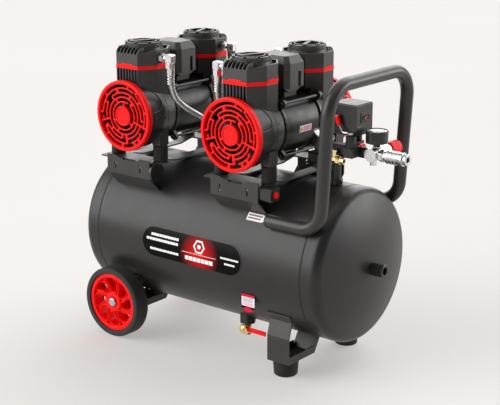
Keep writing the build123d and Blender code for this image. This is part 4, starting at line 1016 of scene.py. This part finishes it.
def on_drum(x, y, z, lift=0.0):
    """The point on a front drum's surface that lies outward of (x, z), for a motor at the origin."""
    share = (drum_radius(-y) + lift) / sqrt(x * x + z * z)
    return Vector((x * share, y, z * share))


def add_studs(shape, spots, middle, mirror):
    """Low round heads at spots on the drum."""
    for x, y, z, radius, rise in spots:
        spot = middle + mirror @ on_drum(x, y, z)
        out = (mirror @ Vector((x, 0, z))).normalized()
        profile = [(0.05, -0.6), (radius, -0.6), (radius, rise * 0.6), (radius * 0.8, rise), (0.05, rise)]
        shape.lathe(profile, pointed(spot, out), 20)


def make_drum_trim(unit, end):
    """Shroud edge, split line and screws of one crankcase drum, with black discs at the vent holes that
    stand for the shade inside them: painted shade.
    """
    middle = Vector((UNITS[unit], 0, MOTOR_Z))
    trim, vent_shades, screws = Shape(), Shape(), Shape()
    for side in (-1, 1):
        mirror = Matrix.Diagonal((side, ENDS[end], 1))
        line = [middle + mirror @ on_drum(*point, 0.1) for point in smooth_line(SHROUD_EDGE, 6)]
        trim.sweep([step[:3] for step in frames_along(line)], circle(EDGE_BEAD_R, 10))
        add_studs(vent_shades, VENT_SHADES, middle, mirror)
        add_studs(screws, SCREWS, middle, mirror)
    r = drum_radius(SPLIT_Y)
    ring = [(r - 0.8, -0.9), (r + SPLIT_RISE / 2, -0.9), (r + SPLIT_RISE, -0.4),
            (r + SPLIT_RISE, 0.4), (r + SPLIT_RISE / 2, 0.9), (r - 0.8, 0.9)]
    axle = turned(middle, 90.0 * ENDS[end], "X")
    trim.lathe([(radius, SPLIT_Y + along) for radius, along in ring], axle, 96)
    trim.piece(f"drum_trim_{unit}_{end}", "head_plastic", merge=False)
    # Drawn in black ink: painted shade inside the vent holes.
    vent_shades.piece(f"drum_vent_shades_{unit}_{end}", "gauge_black", look="print_black", merge=False)
    screws.piece(f"drum_screws_{unit}_{end}", "fitting_black", merge=False)


KEYHOLE_Y, KEYHOLE_Z, KEYHOLE_SHIFT = 142.4, 367.0, 5.5


def make_keyhole_bolts():
    """Bolt heads seen in the keyholes of the saddle plates, drawn dull grey instead of zinc: painted shade
    inside the keyholes.
    """
    bolts = Shape()
    head = [(0.05, -2.0), (2.9, -2.0), (2.9, 0.2), (2.3, 1.0), (0.05, 1.5)]
    for unit, x in UNITS.items():
        for offset, up in ((-36.0, INNER[unit]), (32.0, 1)):
            for side in ENDS.values():
                spot = (x + offset, -side * KEYHOLE_Y, KEYHOLE_Z + KEYHOLE_SHIFT * up)
                bolts.lathe(head, turned(spot, 90.0 * side, "X"), 24)
    # The grey ink instead of zinc stands for the shade inside the keyholes: painted shade.
    bolts.piece("keyhole_bolts", "zinc_steel", look="print_grey", merge=False)


# Where each valve lever's sleeve starts, and the way it then runs to its end.
SLEEVES = {"valve_lever_front": (260.0, -27.0, 499.5), "valve_lever_rear": (227.0, 48.0, 520.5)}
SLEEVE_RUN = Vector((-5.5, 0.0, 17.0))


def make_lever_sleeves():
    """Red dipped sleeves on the two cranked valve levers."""
    reach = SLEEVE_RUN.length
    profile = [(2.1, -2.2), (3.3, -2.2), (4.0, -1.2), (4.45, 1.0), (4.45, reach - 2.5),
               (3.9, reach - 0.4), (2.5, reach + 0.7), (0.05, reach + 1.1)]
    for lever, start in SLEEVES.items():
        sleeve = Shape()
        sleeve.lathe(profile, pointed(start, SLEEVE_RUN), 32, closed=False)
        sleeve.piece(f"{lever}_sleeve", "signal_red", lever)


STEM_Z = 61.5
STEM = [
    (0.05, -0.5), (6.6, -0.5), (6.6, 0.5), (6.0, 0.9), (3.7, 0.9), (3.7, 2.4), (3.1, 3.2),
    (1.6, 3.7), (0.05, 3.8),
]


def make_drain_stem():
    """Domed end of the drain valve's stem, standing out of its nut."""
    low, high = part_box("drain_valve")
    x, face = ((low[0] + high[0]) / 2 - MIDDLE_X) / MM, low[1] / MM
    stem = Shape()
    stem.lathe(STEM, turned((x, face, STEM_Z), 90.0, "X"), 40)
    stem.piece("drain_stem", "brass")


HANDLE_END = (174.0, 134.3, 317.3)
PLUG = [
    (0.05, -2.0), (12.0, -2.0), (12.0, -0.2), (13.1, -0.1), (13.1, 0.8), (12.3, 1.9),
    (10.0, 2.7), (0.05, 3.1),
]


def make_handle_caps():
    """Rounded plugs in the two open ends of the handle tube."""
    caps = Shape()
    x, y, z = HANDLE_END
    for side in (-1, 1):
        caps.lathe(PLUG, turned((x, side * y, z), -90.0, "Y"), 48)
    caps.piece("handle_end_plugs", "rubber_black")


SEAM_X = 264.4
SEAM = [(153.3, -1.5), (154.5, -1.3), (154.8, -0.6), (154.8, 0.6), (154.5, 1.3), (153.3, 1.5)]


def make_seam_shade_rings():
    """Dark ring in the groove between the barrel and each dished end: painted shade of the groove."""
    for name, x in (("left", -SEAM_X), ("right", SEAM_X)):
        seam = Shape()
        seam.lathe(SEAM, turned((x, 0, TANK_Z), 90.0, "Y"), 160)
        # The black ring stands in for the shade inside the groove: painted shade.
        seam.piece(f"tank_seam_shade_{name}", "rubber_black")


LEG_XS = (197.0, -200.0)
PAD_HALF, PAD_LIFT = 28.0, 3.2
PAD_ARCS = (-98.0, -91.0)


def make_leg_pads():
    """Weld pads where the leg brackets meet the barrel."""
    pads = Shape()
    for x in LEG_XS:
        for side in ENDS.values():
            slab(pads, *PAD_ARCS, bar(x - PAD_HALF, x + PAD_HALF), PAD_LIFT, 4, under=0.1, side=side)
    pads.piece("leg_pads", "bracket_coat", bevel=0.8, merge=False)


for unit in UNITS:
    for end in ENDS:
        make_drum_trim(unit, end)
make_keyhole_bolts()
make_lever_sleeves()
make_drain_stem()
make_handle_caps()
make_seam_shade_rings()
make_leg_pads()


# ---- floor and light ----

FLOOR_HALF = 40.0
FLOOR_GLOW = (1.0, 0.985, 0.97, 1.0)
FLOOR_GLOW_STRENGTH = 0.36
ROOM_WHITE = (1.0, 0.992, 0.984, 1.0)
ROOM_DIM = 0.08
# Soft boxes: azimuth, elevation, half angle in degrees and power.
SOFT_BOXES = [
    (-41.0, 20.0, 42.0, 4.2),
    (139.0, 9.0, 27.0, 6.0),
    (163.0, 48.0, 26.0, 1.2),
    (218.0, 18.0, 44.0, 2.4),
    (182.0, 44.0, 34.0, 2.0),
    (0.0, 88.0, 50.0, 0.8),
]
BOX_CORE = 0.35


def make_floor():
    data = bpy.data.meshes.new("floor")
    corners = [(x, y, 0) for x, y in oblong(-FLOOR_HALF, FLOOR_HALF, -FLOOR_HALF, FLOOR_HALF)]
    data.from_pydata(corners, [], [(0, 1, 2, 3)])
    floor_piece = bpy.data.objects.new("floor", data)
    bpy.context.scene.collection.objects.link(floor_piece)
    finish = Finish("floor_paper", {SPECULAR: 0.0})
    finish.colour("a5a3a1", "a7a5a3", 0.8)
    finish.rough(0.75, 0.85, 3.0)
    finish.shader.inputs["Emission Color"].default_value = FLOOR_GLOW
    finish.shader.inputs["Emission Strength"].default_value = FLOOR_GLOW_STRENGTH
    data.materials.append(finish.material)


def make_light():
    """A dim room with soft boxes front left, behind the object and overhead."""
    world = bpy.data.worlds.new("studio")
    world.use_nodes = True
    tree = world.node_tree
    background = tree.nodes["Background"]
    background.inputs["Color"].default_value = ROOM_WHITE
    way = tree.nodes.new("ShaderNodeTexCoord").outputs["Generated"]
    total = None
    for azimuth, elevation, spread, power in SOFT_BOXES:
        a, e = radians(azimuth), radians(elevation)
        dot = tree.nodes.new("ShaderNodeVectorMath")
        dot.operation = "DOT_PRODUCT"
        dot.inputs[1].default_value = (sin(a) * cos(e), -cos(a) * cos(e), sin(e))
        tree.links.new(way, dot.inputs[0])
        edge = tree.nodes.new("ShaderNodeMapRange")
        edge.interpolation_type = "SMOOTHSTEP"
        edge.inputs["From Min"].default_value = cos(radians(spread))
        edge.inputs["From Max"].default_value = cos(radians(spread * BOX_CORE))
        edge.inputs["To Max"].default_value = power
        tree.links.new(dot.outputs["Value"], edge.inputs["Value"])
        add = tree.nodes.new("ShaderNodeMath")
        add.operation = "ADD"
        tree.links.new(edge.outputs["Result"], add.inputs[0])
        if total is None:
            add.inputs[1].default_value = ROOM_DIM
        else:
            tree.links.new(total, add.inputs[1])
        total = add.outputs["Value"]
    tree.links.new(total, background.inputs["Strength"])
    bpy.context.scene.world = world


make_floor()
make_light()
bpy.context.scene.view_settings.view_transform = "Standard"
